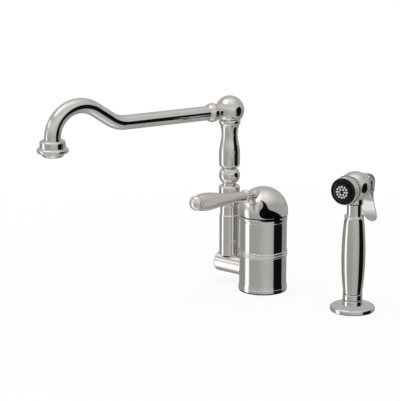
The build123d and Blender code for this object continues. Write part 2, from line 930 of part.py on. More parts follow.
# Sliding diverter piston
piston_front = -pipe_step - diverter_seat_thickness - diverter_travel - seat_gap
with BuildPart() as diverter_piston:
    with BuildSketch(Plane.YZ.offset(piston_front)):
        with Locations((0, pipe_height)):
            Circle(pipe_bore - slide_gap)
            Circle(diverter_rod_radius + running_gap, mode=Mode.SUBTRACT)
    extrude(amount=-diverter_piston_length)
save(diverter_piston, "diverter_piston")


# Frames of the column and of the spout, which points left of straight ahead
column_plane = upright(-column_offset)
column_axis = vertical(-column_offset)
spout_sin = sin(radians(spout_turn))
spout_cos = cos(radians(spout_turn))
spout_across = (-spout_sin, -spout_cos, 0)
spout_plane = Plane(
    origin=(-column_offset, 0, 0), x_dir=spout_across, z_dir=(-spout_cos, spout_sin, 0)
)

# Lower column tube, notched where it stands on the pipe
with BuildPart() as column_tube:
    with BuildSketch(column_plane):
        with BuildLine():
            inner = column_radius - column_wall
            Polyline(
                (inner, column_bottom),
                (column_radius - column_edge, column_bottom),
                (column_radius, column_bottom + column_edge),
                (column_radius, column_tube_top - column_edge),
                (column_radius - column_edge, column_tube_top),
                (riser_radius + seat_gap, column_tube_top),
                (riser_radius + seat_gap, column_tube_top - column_wall),
                (inner, column_tube_top - column_wall),
                close=True,
            )
        make_face()
    revolve(axis=column_axis)
    with BuildSketch(Plane.YZ.offset(pipe_end)):
        with Locations((0, pipe_height)):
            Circle(pipe_radius)
    extrude(amount=-pipe_end, mode=Mode.SUBTRACT)
save(column_tube, "column_tube")

# Waisted sleeve with its shoulder
shoulder_neck_top = shoulder_top + groove_height
with BuildPart() as column_waist:
    with BuildSketch(column_plane):
        with BuildLine():
            waist_foot = (column_radius - column_edge, column_tube_top)
            shoulder_start = (shoulder_radius, shoulder_bottom)
            round_start = (shoulder_radius, shoulder_top - shoulder_round)
            round_end = (shoulder_radius - shoulder_round / 2, shoulder_top)
            Spline(
                waist_foot,
                (waist_radius, waist_height),
                (shoulder_radius - column_edge, shoulder_bottom - column_edge),
                tangents=((-0.2, 1), (1, 1)),
            )
            Line((shoulder_radius - column_edge, shoulder_bottom - column_edge), shoulder_start)
            Line(shoulder_start, round_start)
            TangentArc(round_start, round_end, tangent=(0, 1))
            Polyline(
                round_end,
                (groove_radius, shoulder_top),
                (groove_radius, shoulder_neck_top),
                (riser_radius + seat_gap, shoulder_neck_top),
                (riser_radius + seat_gap, column_tube_top),
                waist_foot,
            )
        make_face()
    revolve(axis=column_axis)
save(column_waist, "column_waist")

# Small ball between two grooves
ball_flat = sqrt(bead_ball_radius**2 - groove_radius**2)
ball_low = bead_ball_height - ball_flat
ball_high = bead_ball_height + ball_flat
with BuildPart() as column_ball:
    with BuildSketch(column_plane):
        with BuildLine():
            Polyline(
                (groove_radius, ball_low),
                (groove_radius, shoulder_neck_top),
                (riser_radius + seat_gap, shoulder_neck_top),
                (riser_radius + seat_gap, ball_high),
                (groove_radius, ball_high),
            )
            ThreePointArc(
                (groove_radius, ball_high),
                (bead_ball_radius, bead_ball_height),
                (groove_radius, ball_low),
            )
        make_face()
    revolve(axis=column_axis)
save(column_ball, "column_ball")

# Vase-shaped sleeve under the spout
vase_foot = ball_high + groove_height / 2
with BuildPart() as column_vase:
    with BuildSketch(column_plane):
        with BuildLine():
            bulge_start = (vase_belly_radius - shoulder_round / 2, vase_foot)
            belly_start = (vase_belly_radius, vase_belly_bottom)
            belly_end = (vase_belly_radius, vase_belly_top)
            vase_lip = (vase_lip_radius, vase_top)
            Polyline(
                (nipple_radius + seat_gap, vase_top),
                (nipple_radius + seat_gap, riser_top),
                (riser_radius + seat_gap, riser_top),
                (riser_radius + seat_gap, ball_high),
                (groove_radius, ball_high),
                (groove_radius, vase_foot),
                bulge_start,
            )
            TangentArc(belly_start, bulge_start, tangent=(0, -1))
            Line(belly_start, belly_end)
            Spline(
                belly_end,
                (vase_neck_radius, vase_neck_height),
                vase_lip,
                tangents=((0, 1), (0.55, 1)),
            )
            Line(vase_lip, (nipple_radius + seat_gap, vase_top))
        make_face()
    revolve(axis=column_axis)
save(column_vase, "column_vase")

# Collar ring that the spout turns on
with BuildPart() as column_collar:
    with BuildSketch(column_plane):
        with BuildLine():
            collar_low = (collar_radius - column_edge, vase_top)
            collar_high = (collar_radius - column_edge, collar_top)
            ThreePointArc(
                collar_low, (collar_radius, vase_top + collar_height / 2), collar_high
            )
            Polyline(
                collar_high,
                (nipple_radius + seat_gap, collar_top),
                (nipple_radius + seat_gap, vase_top),
                collar_low,
            )
        make_face()
    revolve(axis=column_axis)
save(column_collar, "column_collar")

# Riser tube inside the column
with BuildPart() as riser_tube:
    with BuildSketch(Plane((-column_offset, 0, riser_bottom))):
        Circle(riser_radius)
        Circle(riser_bore, mode=Mode.SUBTRACT)
    extrude(amount=riser_top - riser_bottom)
save(riser_tube, "riser_tube")

# Swivel nipple with seal grooves and a groove for the retaining screw
with BuildPart() as swivel_nipple:
    with BuildSketch(column_plane):
        with BuildLine():
            Polyline(
                (nipple_bore - tube_wall, riser_top - nipple_spigot),
                (riser_bore - seat_gap, riser_top - nipple_spigot),
                (riser_bore - seat_gap, riser_top),
                (nipple_radius, riser_top),
                (nipple_radius, nipple_top),
                (nipple_bore - tube_wall, nipple_top),
                close=True,
            )
        make_face()
        with Locations((nipple_radius, lower_seal_height), (nipple_radius, upper_seal_height)):
            Rectangle(2 * seal_groove_depth, 2 * seal_radius, mode=Mode.SUBTRACT)
        with Locations((nipple_radius, retainer_height)):
            Rectangle(
                2 * retainer_groove_depth,
                2 * (retainer_radius + slide_gap),
                mode=Mode.SUBTRACT,
            )
    revolve(axis=column_axis)
    for turn in (0, 90):
        port_plane = Plane(
            (-column_offset, 0, hub_ball_height),
            z_dir=(cos(radians(turn)), sin(radians(turn)), 0),
        )
        with BuildSketch(port_plane):
            Circle(nipple_port_radius)
        extrude(amount=nipple_radius, both=True, mode=Mode.SUBTRACT)
save(swivel_nipple, "swivel_nipple")

# Two rubber seal rings on the nipple
with BuildPart() as swivel_seals:
    with BuildSketch(column_plane):
        seal_place = nipple_radius - seal_groove_depth + seal_radius
        with Locations((seal_place, lower_seal_height), (seal_place, upper_seal_height)):
            Circle(seal_radius - seat_gap)
    revolve(axis=column_axis)
save(swivel_seals, "swivel_seals")

# Plastic washer under the hub
with BuildPart() as swivel_washer:
    with BuildSketch(Plane((-column_offset, 0, collar_top))):
        Circle(collar_radius - 2 * column_edge)
        Circle(hub_bore, mode=Mode.SUBTRACT)
    extrude(amount=swivel_washer_thickness - seat_gap)
save(swivel_washer, "swivel_washer")

# Ball hub that the spout springs from
with BuildPart() as spout_hub:
    with BuildSketch(column_plane):
        with BuildLine():
            hub_flat = sqrt(hub_ball_radius**2 - (hub_ball_height - hub_bottom) ** 2)
            Polyline(
                (0, hub_ball_height + hub_ball_radius),
                (0, hub_bore_top),
                (hub_bore, hub_bore_top),
                (hub_bore, hub_bottom),
                (hub_flat, hub_bottom),
            )
            ThreePointArc(
                (hub_flat, hub_bottom),
                (hub_ball_radius, hub_ball_height),
                (0, hub_ball_height + hub_ball_radius),
            )
        make_face()
    revolve(axis=column_axis)
    spout_root = spout_plane.from_local_coords((tube_start, spout_height))
    with BuildSketch(Plane(spout_root, z_dir=spout_across)):
        Circle(stub_radius)
    extrude(amount=stub_end - tube_start)
    with BuildSketch(Plane(spout_plane.from_local_coords((0, spout_height)), z_dir=spout_across)):
        Circle(tube_radius + seat_gap)
    extrude(amount=stub_end, mode=Mode.SUBTRACT)
    screw_place = spout_plane.from_local_coords((0, retainer_height))
    with BuildSketch(Plane(screw_place, z_dir=(spout_sin, spout_cos, 0))):
        Circle(retainer_radius + seat_gap)
    extrude(amount=hub_ball_radius, mode=Mode.SUBTRACT)
save(spout_hub, "spout_hub")

# Retaining screw at the back of the hub
retainer_tip = nipple_radius - retainer_groove_depth + slide_gap
hub_reach = sqrt(hub_ball_radius**2 - (hub_ball_height - retainer_height) ** 2)
retainer_length = hub_reach - retainer_tip - column_edge
with BuildPart() as retaining_screw:
    screw_tip = spout_plane.from_local_coords((-retainer_tip, retainer_height))
    with BuildSketch(Plane(screw_tip, z_dir=(spout_sin, spout_cos, 0))):
        Circle(retainer_radius)
    extrude(amount=retainer_length)
    with BuildSketch(Plane(screw_tip, z_dir=(spout_sin, spout_cos, 0)).offset(retainer_length)):
        RegularPolygon(retainer_key / 2, 6, major_radius=False)
    extrude(amount=-retainer_length / 2, mode=Mode.SUBTRACT)
save(retaining_screw, "retaining_screw")

# Bead collar at the root of the spout tube
with BuildPart() as spout_bead:
    with BuildSketch(spout_plane):
        with BuildLine():
            bead_inner = tube_radius + seat_gap
            bead_root = (spout_bead_start, spout_height + spout_bead_root)
            bead_tip = (spout_bead_end, spout_height + spout_bead_root)
            ThreePointArc(
                bead_root,
                ((spout_bead_start + spout_bead_end) / 2, spout_height + spout_bead_radius),
                bead_tip,
            )
            Polyline(
                bead_tip,
                (spout_bead_end, spout_height + bead_inner),
                (spout_bead_start, spout_height + bead_inner),
                bead_root,
            )
        make_face()
    revolve(axis=Axis(spout_plane.from_local_coords((0, spout_height)), spout_across))
save(spout_bead, "spout_bead")

# Path of the spout tube: straight, up out of the valley, over the crest and down
with BuildLine(spout_plane) as low_path:
    straight = Line((tube_start, spout_height), (valley_start, spout_height))
    valley = JernArc(straight @ 1, straight % 1, valley_radius, rise_angle)
    rise = PolarLine(valley @ 1, rise_length, direction=valley % 1)
with BuildLine(spout_plane) as high_path:
    crest = JernArc(rise @ 1, rise % 1, crest_radius, -(90 + rise_angle))
    fall = PolarLine(crest @ 1, tube_drop, direction=crest % 1)
low_wire = low_path.wire()
high_wire = high_path.wire()
tube_foot = high_wire @ 1

# Spout tube, opening slightly on its way down to the outlet
with BuildPart() as spout_tube:
    for wall, work in ((0, Mode.ADD), (tube_wall, Mode.SUBTRACT)):
        with BuildSketch(Plane(low_wire @ 0, z_dir=low_wire % 0)):
            Circle(tube_radius - wall)
        sweep(path=low_wire, mode=work)
        with BuildSketch(Plane(high_wire @ 0, z_dir=high_wire % 0)):
            Circle(tube_radius - wall)
        with BuildSketch(Plane(high_wire @ 1, z_dir=high_wire % 1)):
            Circle(tube_end_radius - wall)
        sweep(path=high_wire, multisection=True, mode=work)
save(spout_tube, "spout_tube")

# Outlet bell at the end of the spout
bell_plane = Plane(origin=(tube_foot.X, tube_foot.Y, 0), x_dir=(1, 0, 0), z_dir=(0, -1, 0))
bell_axis = Axis((tube_foot.X, tube_foot.Y, 0), (0, 0, 1))
bell_socket = tube_end_radius + seat_gap
bell_seat = tube_foot.Z - tube_end_gap
bell_top = bell_seat + bell_socket_depth
bell_bottom = bell_seat - bell_skirt
bell_bead_height = bell_bottom + bell_bead_rise
aerator_thread_top = bell_bottom + aerator_thread_length
aerator_insert_top = aerator_thread_top - aerator_insert_inset
outlet_bottom = bell_bottom - lip_height
with BuildPart() as outlet_bell:
    with BuildSketch(bell_plane):
        with BuildLine():
            shoulder_in = (bell_shoulder_radius - bell_shoulder_round, bell_top)
            shoulder_out = (bell_shoulder_radius, bell_top - bell_shoulder_round)
            bead_over = (bell_shoulder_radius, bell_bead_height + bell_bead_half)
            bead_under = (bell_shoulder_radius, bell_bead_height - bell_bead_half)
            thread_wall = aerator_thread_radius + seat_gap
            Line((bell_socket, bell_top), shoulder_in)
            RadiusArc(shoulder_in, shoulder_out, bell_shoulder_round)
            Line(shoulder_out, bead_over)
            ThreePointArc(bead_over, (bell_bead_radius, bell_bead_height), bead_under)
            Polyline(
                bead_under,
                (bell_shoulder_radius, bell_bottom),
                (thread_wall, bell_bottom),
                (thread_wall, bell_seat),
                (bell_socket, bell_seat),
                (bell_socket, bell_top),
            )
        make_face()
    revolve(axis=bell_axis)
save(outlet_bell, "outlet_bell")

# Aerator housing that screws into the bell and shows as its lip
insert_floor = outlet_bottom + aerator_rim
with BuildPart() as aerator_housing:
    with BuildSketch(bell_plane):
        with BuildLine():
            Polyline(
                (aerator_bore, aerator_thread_top),
                (aerator_thread_radius, aerator_thread_top),
                (aerator_thread_radius, bell_bottom - seat_gap),
                (lip_top_radius, bell_bottom - seat_gap),
                (lip_bottom_radius, outlet_bottom + lip_round),
            )
            TangentArc(
                (lip_bottom_radius, outlet_bottom + lip_round),
                (lip_bottom_radius - lip_round, outlet_bottom),
                tangent=(lip_bottom_radius - lip_top_radius, outlet_bottom - bell_bottom),
            )
            Polyline(
                (lip_bottom_radius - lip_round, outlet_bottom),
                (aerator_bore - aerator_rim, outlet_bottom),
                (aerator_bore - aerator_rim, insert_floor),
                (aerator_bore, insert_floor),
                (aerator_bore, aerator_thread_top),
            )
        make_face()
    revolve(axis=bell_axis)
save(aerator_housing, "aerator_housing")

# Rubber washer between the aerator and the bell
with BuildPart() as aerator_washer:
    with BuildSketch(Plane((tube_foot.X, tube_foot.Y, aerator_thread_top))):
        Circle(aerator_thread_radius - seat_gap)
        Circle(tube_end_radius - tube_wall, mode=Mode.SUBTRACT)
    extrude(amount=aerator_washer_thickness)
save(aerator_washer, "aerator_washer")

# Perforated screen at the mouth of the aerator
with BuildPart() as aerator_screen:
    with BuildSketch(Plane((tube_foot.X, tube_foot.Y, insert_floor))):
        Circle(aerator_bore - seat_gap)
        with GridLocations(screen_pitch, screen_pitch, screen_count, screen_count) as grid:
            inside = [
                place
                for place in grid.local_locations
                if place.position.length < aerator_bore - aerator_rim - 2 * screen_hole_radius
            ]
        with Locations(inside):
            Circle(screen_hole_radius, mode=Mode.SUBTRACT)
    extrude(amount=screen_thickness)
save(aerator_screen, "aerator_screen")

# Aerator insert with a ring of jets over the screen
with BuildPart() as aerator_insert:
    with BuildSketch(Plane((tube_foot.X, tube_foot.Y, insert_floor + screen_thickness))):
        Circle(aerator_bore - seat_gap)
        Circle(aerator_bore - 2 * aerator_rim, mode=Mode.SUBTRACT)
    extrude(amount=aerator_insert_top - insert_floor - screen_thickness)
    with BuildSketch(Plane((tube_foot.X, tube_foot.Y, aerator_insert_top - aerator_rim))):
        Circle(aerator_bore - aerator_rim)
        with PolarLocations(jet_circle, jet_count):
            Circle(jet_radius, mode=Mode.SUBTRACT)
    extrude(amount=aerator_rim)
save(aerator_insert, "aerator_insert")

# Heights on the spray head, all taken from the middle of its ball
neck_top = head_height - neck_reach
head_collar_height = head_height - head_collar_drop
hinge_height = head_height + hinge_rise
plunger_height = head_height - plunger_drop
trigger_top = hinge_height + trigger_rise
trigger_shoulder_height = hinge_height - trigger_shoulder_drop
trigger_waist_height = head_height - trigger_waist_drop
trigger_leaf_height = head_height - trigger_leaf_drop
trigger_tip_height = head_height - trigger_tip_drop
ear_foot_height = head_height - ear_foot_drop

# Frames of the side spray: its upright axis and the heading of its head
spray_plane = upright(spray_offset)
spray_axis = vertical(spray_offset)
heading_sin = sin(radians(spray_heading))
heading_cos = cos(radians(spray_heading))
spray_ahead = (heading_sin, -heading_cos, 0)
spray_side = (-heading_cos, -heading_sin, 0)
head_plane = Plane(origin=(spray_offset, 0, 0), x_dir=spray_ahead, z_dir=spray_side)
nozzle_axis = Axis((spray_offset, 0, head_height), spray_ahead)
valve_axis = Axis((spray_offset, 0, plunger_height), spray_ahead)


def head_section(height, ahead):
    """Plane square to the head's heading: across is x, up is y."""
    place = head_plane.from_local_coords((ahead, height))
    return Plane(origin=place, x_dir=(heading_cos, heading_sin, 0), z_dir=spray_ahead)


# Rubber ring under the spray flange
with BuildPart() as flange_gasket:
    with BuildSketch(Plane((spray_offset, 0, 0))):
        Circle(flange_radius - foot_edge)
        Circle(holder_spigot + seat_gap, mode=Mode.SUBTRACT)
    extrude(amount=flange_gasket_thickness)
save(flange_gasket, "flange_gasket")

# Round deck flange of the spray holder
flange_top = flange_edge + flange_crown
with BuildPart() as spray_flange:
    with BuildSketch(spray_plane):
        with BuildLine():
            Polyline(
                (holder_spigot + seat_gap, flange_top),
                (holder_spigot + seat_gap, flange_gasket_thickness),
                (flange_radius, flange_gasket_thickness),
                (flange_radius, flange_edge - foot_edge),
            )
            ThreePointArc(
                (flange_radius, flange_edge - foot_edge),
                (flange_radius - foot_edge / 4, flange_edge - foot_edge / 4),
                (flange_radius - foot_edge, flange_edge),
            )
            Line((flange_radius - foot_edge, flange_edge), (holder_spigot + seat_gap, flange_top))
        make_face()
    revolve(axis=spray_axis)
save(spray_flange, "spray_flange")

# Spray holder, threaded underneath for its deck nut
with BuildPart() as spray_holder:
    with BuildSketch(spray_plane):
        with BuildLine():
            Polyline(
                (holder_thread_radius, 0),
                (holder_spigot, 0),
                (holder_spigot, flange_top),
                (holder_radius, flange_top),
                (holder_radius, holder_top - foot_edge),
                (holder_radius - foot_edge, holder_top),
                (liner_seat_radius, holder_top),
                (liner_seat_radius, holder_thread_depth),
                (holder_thread_radius, holder_thread_depth),
                close=True,
            )
        make_face()
    revolve(axis=spray_axis)
save(spray_holder, "spray_holder")

# Plastic liner that the hand spray stands in
with BuildPart() as holder_liner:
    with BuildSketch(Plane((spray_offset, 0, holder_thread_depth))):
        Circle(liner_seat_radius - seat_gap)
        Circle(liner_bore, mode=Mode.SUBTRACT)
    extrude(amount=holder_top - liner_inset - holder_thread_depth)
save(holder_liner, "holder_liner")

# Hose connector: nose in the holder, ring over it, stem that the grip turns on
ferrule_bottom = holder_top + slide_gap
ferrule_top = ferrule_bottom + ferrule_height
swivel_stem_top = ferrule_top + swivel_stem_height
with BuildPart() as hose_connector:
    with BuildSketch(spray_plane):
        with BuildLine():
            Polyline(
                (hose_thread_radius, nose_bottom),
                (nose_radius - foot_edge, nose_bottom),
                (nose_radius, nose_bottom + foot_edge),
                (nose_radius, ferrule_bottom),
                (ferrule_radius - foot_edge, ferrule_bottom),
                (ferrule_radius, ferrule_bottom + foot_edge),
                (ferrule_radius, ferrule_top - foot_edge),
                (ferrule_radius - foot_edge, ferrule_top),
                (swivel_stem_radius, ferrule_top),
                (swivel_stem_radius, swivel_stem_top),
                (hose_passage, swivel_stem_top),
                (hose_passage, nose_bottom + hose_thread_depth),
                (hose_thread_radius, nose_bottom + hose_thread_depth),
                close=True,
            )
        make_face()
    revolve(axis=spray_axis)
save(hose_connector, "hose_connector")

# Barrel-shaped grip
grip_bottom = ferrule_top + slide_gap
with BuildPart() as spray_grip:
    with BuildSketch(spray_plane):
        with BuildLine():
            stem_bore = swivel_stem_radius + running_gap
            cavity_foot = (grip_foot_radius - grip_wall, grip_bottom + grip_floor)
            cavity_head = (grip_head_radius - grip_wall, grip_top - neck_spigot)
            Line((stem_bore, grip_bottom), (grip_foot_radius, grip_bottom))
            ThreePointArc(
                (grip_foot_radius, grip_bottom),
                (grip_belly_radius, grip_belly_height),
                (grip_head_radius, grip_top),
            )
            Polyline(
                (grip_head_radius, grip_top),
                (grip_head_radius - grip_wall, grip_top),
                cavity_head,
            )
            ThreePointArc(
                cavity_head,
                (grip_belly_radius - grip_wall, grip_belly_height),
                cavity_foot,
            )
            Polyline(
                cavity_foot,
                (stem_bore, grip_bottom + grip_floor),
                (stem_bore, grip_bottom),
            )
        make_face()
    revolve(axis=spray_axis)
save(spray_grip, "spray_grip")

# Neck with its flared rim
with BuildPart() as spray_neck:
    with BuildSketch(spray_plane):
        with BuildLine():
            spigot_wall = grip_head_radius - grip_wall - seat_gap
            Polyline(
                (neck_bore, neck_top),
                (neck_bore, grip_top - neck_spigot),
                (spigot_wall, grip_top - neck_spigot),
                (spigot_wall, grip_top),
                (rim_root_radius, grip_top),
            )
            Spline(
                (rim_root_radius, grip_top),
                (rim_radius, rim_top - rim_edge),
                tangents=((0, 1), (0.5, 1)),
            )
            Polyline(
                (rim_radius, rim_top - rim_edge),
                (rim_radius - rim_edge, rim_top),
                (neck_radius, rim_top),
                (neck_radius, neck_top),
                (neck_bore, neck_top),
            )
        make_face()
    revolve(axis=spray_axis)
save(spray_neck, "spray_neck")

# Spray head: ball with a collar, front and rear bosses, hinge lug and waterways
rear_cut = head_section(plunger_height, -rear_boss_end)
with BuildPart() as spray_head:
    with Locations((spray_offset, 0, head_height)):
        Sphere(head_radius)
    with BuildSketch(Plane((spray_offset, 0, head_collar_height))):
        Circle(head_collar_radius)
    extrude(amount=head_height - head_collar_height)
    with BuildSketch(head_section(head_height, 0)):
        Circle(front_boss_radius)
    extrude(amount=front_boss_end)
    with BuildSketch(rear_cut):
        Circle(rear_boss_radius)
    extrude(amount=rear_boss_end)
    with BuildSketch(head_plane.offset(-lug_width / 2)):
        with Locations((-hinge_back, hinge_height)):
            Circle(hinge_round)
        with BuildLine():
            Polyline(
                (-rear_boss_end, hinge_height),
                (-rear_boss_end, plunger_height),
                (-lug_front, plunger_height),
                (-lug_front, hinge_height + hinge_round),
                (-hinge_back, hinge_height + hinge_round),
                (-hinge_back, hinge_height),
                close=True,
            )
        make_face()
    extrude(amount=lug_width)
    with BuildSketch(head_plane.offset(-lug_width)):
        with Locations((-hinge_back, hinge_height)):
            Circle(hinge_pin_radius + seat_gap / 2)
    extrude(amount=2 * lug_width, mode=Mode.SUBTRACT)
    with BuildSketch(Plane((spray_offset, 0, head_collar_height))):
        Circle(neck_radius + seat_gap)
    extrude(amount=neck_top + seat_gap - head_collar_height, mode=Mode.SUBTRACT)
    with BuildSketch(Plane((spray_offset, 0, neck_top))):
        Circle(neck_bore)
    extrude(amount=plunger_height - neck_top, mode=Mode.SUBTRACT)
    with BuildSketch(rear_cut):
        Circle(valve_radius)
    extrude(amount=rear_boss_end - valve_floor, mode=Mode.SUBTRACT)
    with BuildSketch(head_section(plunger_height, -valve_floor)):
        Circle(valve_passage)
    extrude(amount=valve_floor + front_chamber_start, mode=Mode.SUBTRACT)
    with BuildSketch(head_section(head_height, front_chamber_start)):
        Circle(front_chamber_radius)
    extrude(amount=front_boss_end - front_chamber_start, mode=Mode.SUBTRACT)
save(spray_head, "spray_head")

# Bright nozzle ring screwed into the front of the head
nozzle_section = Plane(
    origin=(spray_offset, 0, head_height), x_dir=spray_ahead, z_dir=spray_side
)
with BuildPart() as nozzle_ring:
    with BuildSketch(nozzle_section):
        with BuildLine():
            spigot_radius = front_chamber_radius - seat_gap
            ring_inner = nozzle_ring_radius - nozzle_ring_wall
            ring_start = front_boss_end + seat_gap
            ring_floor_end = ring_start + nozzle_ring_floor
            Polyline(
                (front_boss_end - nozzle_spigot, nozzle_ring_bore),
                (front_boss_end - nozzle_spigot, spigot_radius),
                (ring_start, spigot_radius),
                (ring_start, nozzle_ring_radius - foot_edge),
                (ring_start + foot_edge, nozzle_ring_radius),
                (nozzle_ring_end - nozzle_ring_wall / 2, nozzle_ring_radius),
            )
            ThreePointArc(
                (nozzle_ring_end - nozzle_ring_wall / 2, nozzle_ring_radius),
                (nozzle_ring_end, nozzle_ring_radius - nozzle_ring_wall / 2),
                (nozzle_ring_end - nozzle_ring_wall / 2, ring_inner),
            )
            Polyline(
                (nozzle_ring_end - nozzle_ring_wall / 2, ring_inner),
                (ring_floor_end, ring_inner),
                (ring_floor_end, nozzle_ring_bore),
                (front_boss_end - nozzle_spigot, nozzle_ring_bore),
            )
        make_face()
    revolve(axis=nozzle_axis)
save(nozzle_ring, "nozzle_ring")

# Black spray face with its raised middle, pierced for the nubs
mat_front = face_disc_end - face_front_wall
with BuildPart() as spray_face:
    with BuildSketch(nozzle_section):
        with BuildLine():
            face_rim = ring_inner - seat_gap
            step_foot = (face_edge_end + face_crown, face_disc_radius + nub_proud)
            mat_wall = nub_mat_radius + seat_gap
            Polyline(
                (mat_front, 0),
                (mat_front, mat_wall),
                (ring_floor_end, mat_wall),
                (ring_floor_end, face_rim),
                (face_edge_end, face_rim),
            )
            ThreePointArc(
                (face_edge_end, face_rim),
                (face_edge_end + 0.7 * face_crown, (face_rim + step_foot[1]) / 2),
                step_foot,
            )
            Polyline(
                step_foot,
                (step_foot[0], face_disc_radius),
                (face_disc_end - nub_proud, face_disc_radius),
                (face_disc_end, face_disc_radius - nub_proud),
            )
            TangentArc(
                (face_disc_end + face_disc_crown, 0),
                (face_disc_end, face_disc_radius - nub_proud),
                tangent=(0, 1),
            )
            Line((face_disc_end + face_disc_crown, 0), (mat_front, 0))
        make_face()
    revolve(axis=nozzle_axis)
    with BuildSketch(head_section(head_height, mat_front)):
        with PolarLocations(outer_nub_circle, outer_nubs):
            Circle(nub_radius + seat_gap)
        with PolarLocations(inner_nub_circle, inner_nubs):
            Circle(nub_radius + seat_gap)
    extrude(amount=face_front_wall + face_disc_crown, mode=Mode.SUBTRACT)
save(spray_face, "spray_face")

# Soft mat whose nubs stand out through the face, each with its jet
with BuildPart() as face_nubs:
    with BuildSketch(head_section(head_height, mat_front - nub_mat_thickness)):
        Circle(nub_mat_radius)
    extrude(amount=nub_mat_thickness - seat_gap)
    with BuildSketch(head_section(head_height, mat_front - nub_mat_thickness)):
        with PolarLocations(outer_nub_circle, outer_nubs):
            Circle(nub_radius)
        with PolarLocations(inner_nub_circle, inner_nubs):
            Circle(nub_radius)
    extrude(amount=nub_mat_thickness + face_front_wall + face_disc_crown + nub_proud)
    with BuildSketch(head_section(head_height, mat_front - nub_mat_thickness)):
        with PolarLocations(outer_nub_circle, outer_nubs):
            Circle(nub_jet_radius)
        with PolarLocations(inner_nub_circle, inner_nubs):
            Circle(nub_jet_radius)
    extrude(
        amount=nub_mat_thickness + face_front_wall + face_disc_crown + nub_proud,
        mode=Mode.SUBTRACT,
    )
save(face_nubs, "face_nubs")

# Valve bush that guides the plunger
with BuildPart() as valve_bush:
    with BuildSketch(rear_cut):
        Circle(valve_radius - seat_gap)
        Circle(plunger_radius + running_gap, mode=Mode.SUBTRACT)
    extrude(amount=rear_boss_end - plunger_collar_back - seat_gap)
save(valve_bush, "valve_bush")

# Valve plunger: its rounded end follows the trigger, its collar seats the spring
face_lever = trigger_face_back - hinge_back
plunger_lever = hinge_height - plunger_height
plunger_travel = plunger_lever * tan(radians(squeeze_angle))
plunger_tip = -trigger_face_back + slide_gap
tip_round = face_lever - sqrt(face_lever**2 - plunger_radius**2)
plunger_front = -valve_floor - plunger_travel - slide_gap
print("plunger travel mm", plunger_travel, "per radian", plunger_travel / radians(squeeze_angle))
with BuildPart() as valve_plunger:
    with BuildSketch(Plane(valve_axis.position, x_dir=spray_ahead, z_dir=spray_side)):
        with BuildLine():
            Line((plunger_front, 0), (plunger_tip, 0))
            RadiusArc(
                (plunger_tip, 0), (plunger_tip + tip_round, plunger_radius), face_lever
            )
            Polyline(
                (plunger_tip + tip_round, plunger_radius),
                (-plunger_collar_back, plunger_radius),
                (-plunger_collar_back, plunger_collar_radius),
                (-plunger_collar_back + plunger_collar_width, plunger_collar_radius),
                (-plunger_collar_back + plunger_collar_width, plunger_radius),
                (plunger_front, plunger_radius),
                (plunger_front, 0),
            )
        make_face()
    revolve(axis=valve_axis)
save(valve_plunger, "valve_plunger")

# Return spring around the plunger's inner end, as a plain tube
spring_back = -plunger_collar_back + plunger_collar_width
with BuildPart() as valve_spring:
    with BuildSketch(head_section(plunger_height, spring_back)):
        Circle(spring_radius)
        Circle(spring_radius - spring_wall, mode=Mode.SUBTRACT)
    extrude(amount=plunger_front - spring_back)
save(valve_spring, "valve_spring")

# Trigger: a curved plate with a leaf-shaped paddle, its sides turned in as hinge ears
trigger_half_width = lug_width / 2 + slide_gap + ear_thickness
half_thickness = trigger_thickness / 2
with BuildPart() as trigger:
    with BuildSketch(head_plane.offset(-trigger_half_width)):
        with BuildLine():
            Spline(
                (-trigger_top_back - half_thickness, trigger_top),
                (-trigger_face_back - half_thickness, plunger_height),
                (-trigger_waist_back - half_thickness, trigger_waist_height),
                (-trigger_leaf_back - half_thickness, trigger_leaf_height),
                (-trigger_tip_back - half_thickness, trigger_tip_height),
            )
        trace(line_width=trigger_thickness)
    extrude(amount=2 * trigger_half_width)
    with BuildSketch(head_section(0, -trigger_tip_back - 2 * trigger_thickness)):
        with BuildLine():
            Spline(
                (0, trigger_top),
                (trigger_half_width, trigger_shoulder_height),
                tangents=((1, 0), (0, -1)),
            )
            Spline(
                (trigger_half_width, trigger_shoulder_height),
                (trigger_waist_half_width, trigger_waist_height),
                (trigger_leaf_half_width, trigger_leaf_height),
                (0, trigger_tip_height),
                tangents=((0, -1), (-1, 0)),
            )
            Line((0, trigger_tip_height), (0, trigger_top))
        make_face()
        mirror(about=Plane.YZ)
    extrude(amount=trigger_tip_back, mode=Mode.INTERSECT)
    for side in (-trigger_half_width, trigger_half_width - ear_thickness):
        with BuildSketch(head_plane.offset(side)):
            with Locations((-hinge_back, hinge_height)):
                Circle(ear_radius)
            with BuildLine():
                Polyline(
                    (-trigger_top_back - trigger_thickness, trigger_shoulder_height),
                    (-hinge_back, hinge_height + ear_radius),
                    (-hinge_back, hinge_height - ear_radius),
                    (-ear_shoulder_back, hinge_height - ear_radius),
                    (-ear_front_back, plunger_height),
                    (-ear_foot_back, ear_foot_height),
                    (-trigger_waist_back - half_thickness, ear_foot_height),
                    (-trigger_face_back - half_thickness, plunger_height),
                    close=True,
                )
            make_face()
            with Locations((-hinge_back, hinge_height)):
                Circle(hinge_pin_radius + running_gap, mode=Mode.SUBTRACT)
        extrude(amount=ear_thickness)
save(trigger, "trigger")

# Hinge pin of the trigger
with BuildPart() as trigger_pin:
    with BuildSketch(head_plane.offset(-trigger_half_width)):
        with Locations((-hinge_back, hinge_height)):
            Circle(hinge_pin_radius)
    extrude(amount=2 * trigger_half_width)
save(trigger_pin, "trigger_pin")
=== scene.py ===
# %% [markdown]
# # Kitchen tap with its side spray
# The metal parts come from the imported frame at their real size. This script gives each
# of them its finish, adds the pieces that only the look needs, and builds the studio,
# because polished plating shows nothing but what stands around it.

# %% Load the frame
import json
from math import cos, pi, radians, sin

import bpy
from mathutils import Matrix, Vector


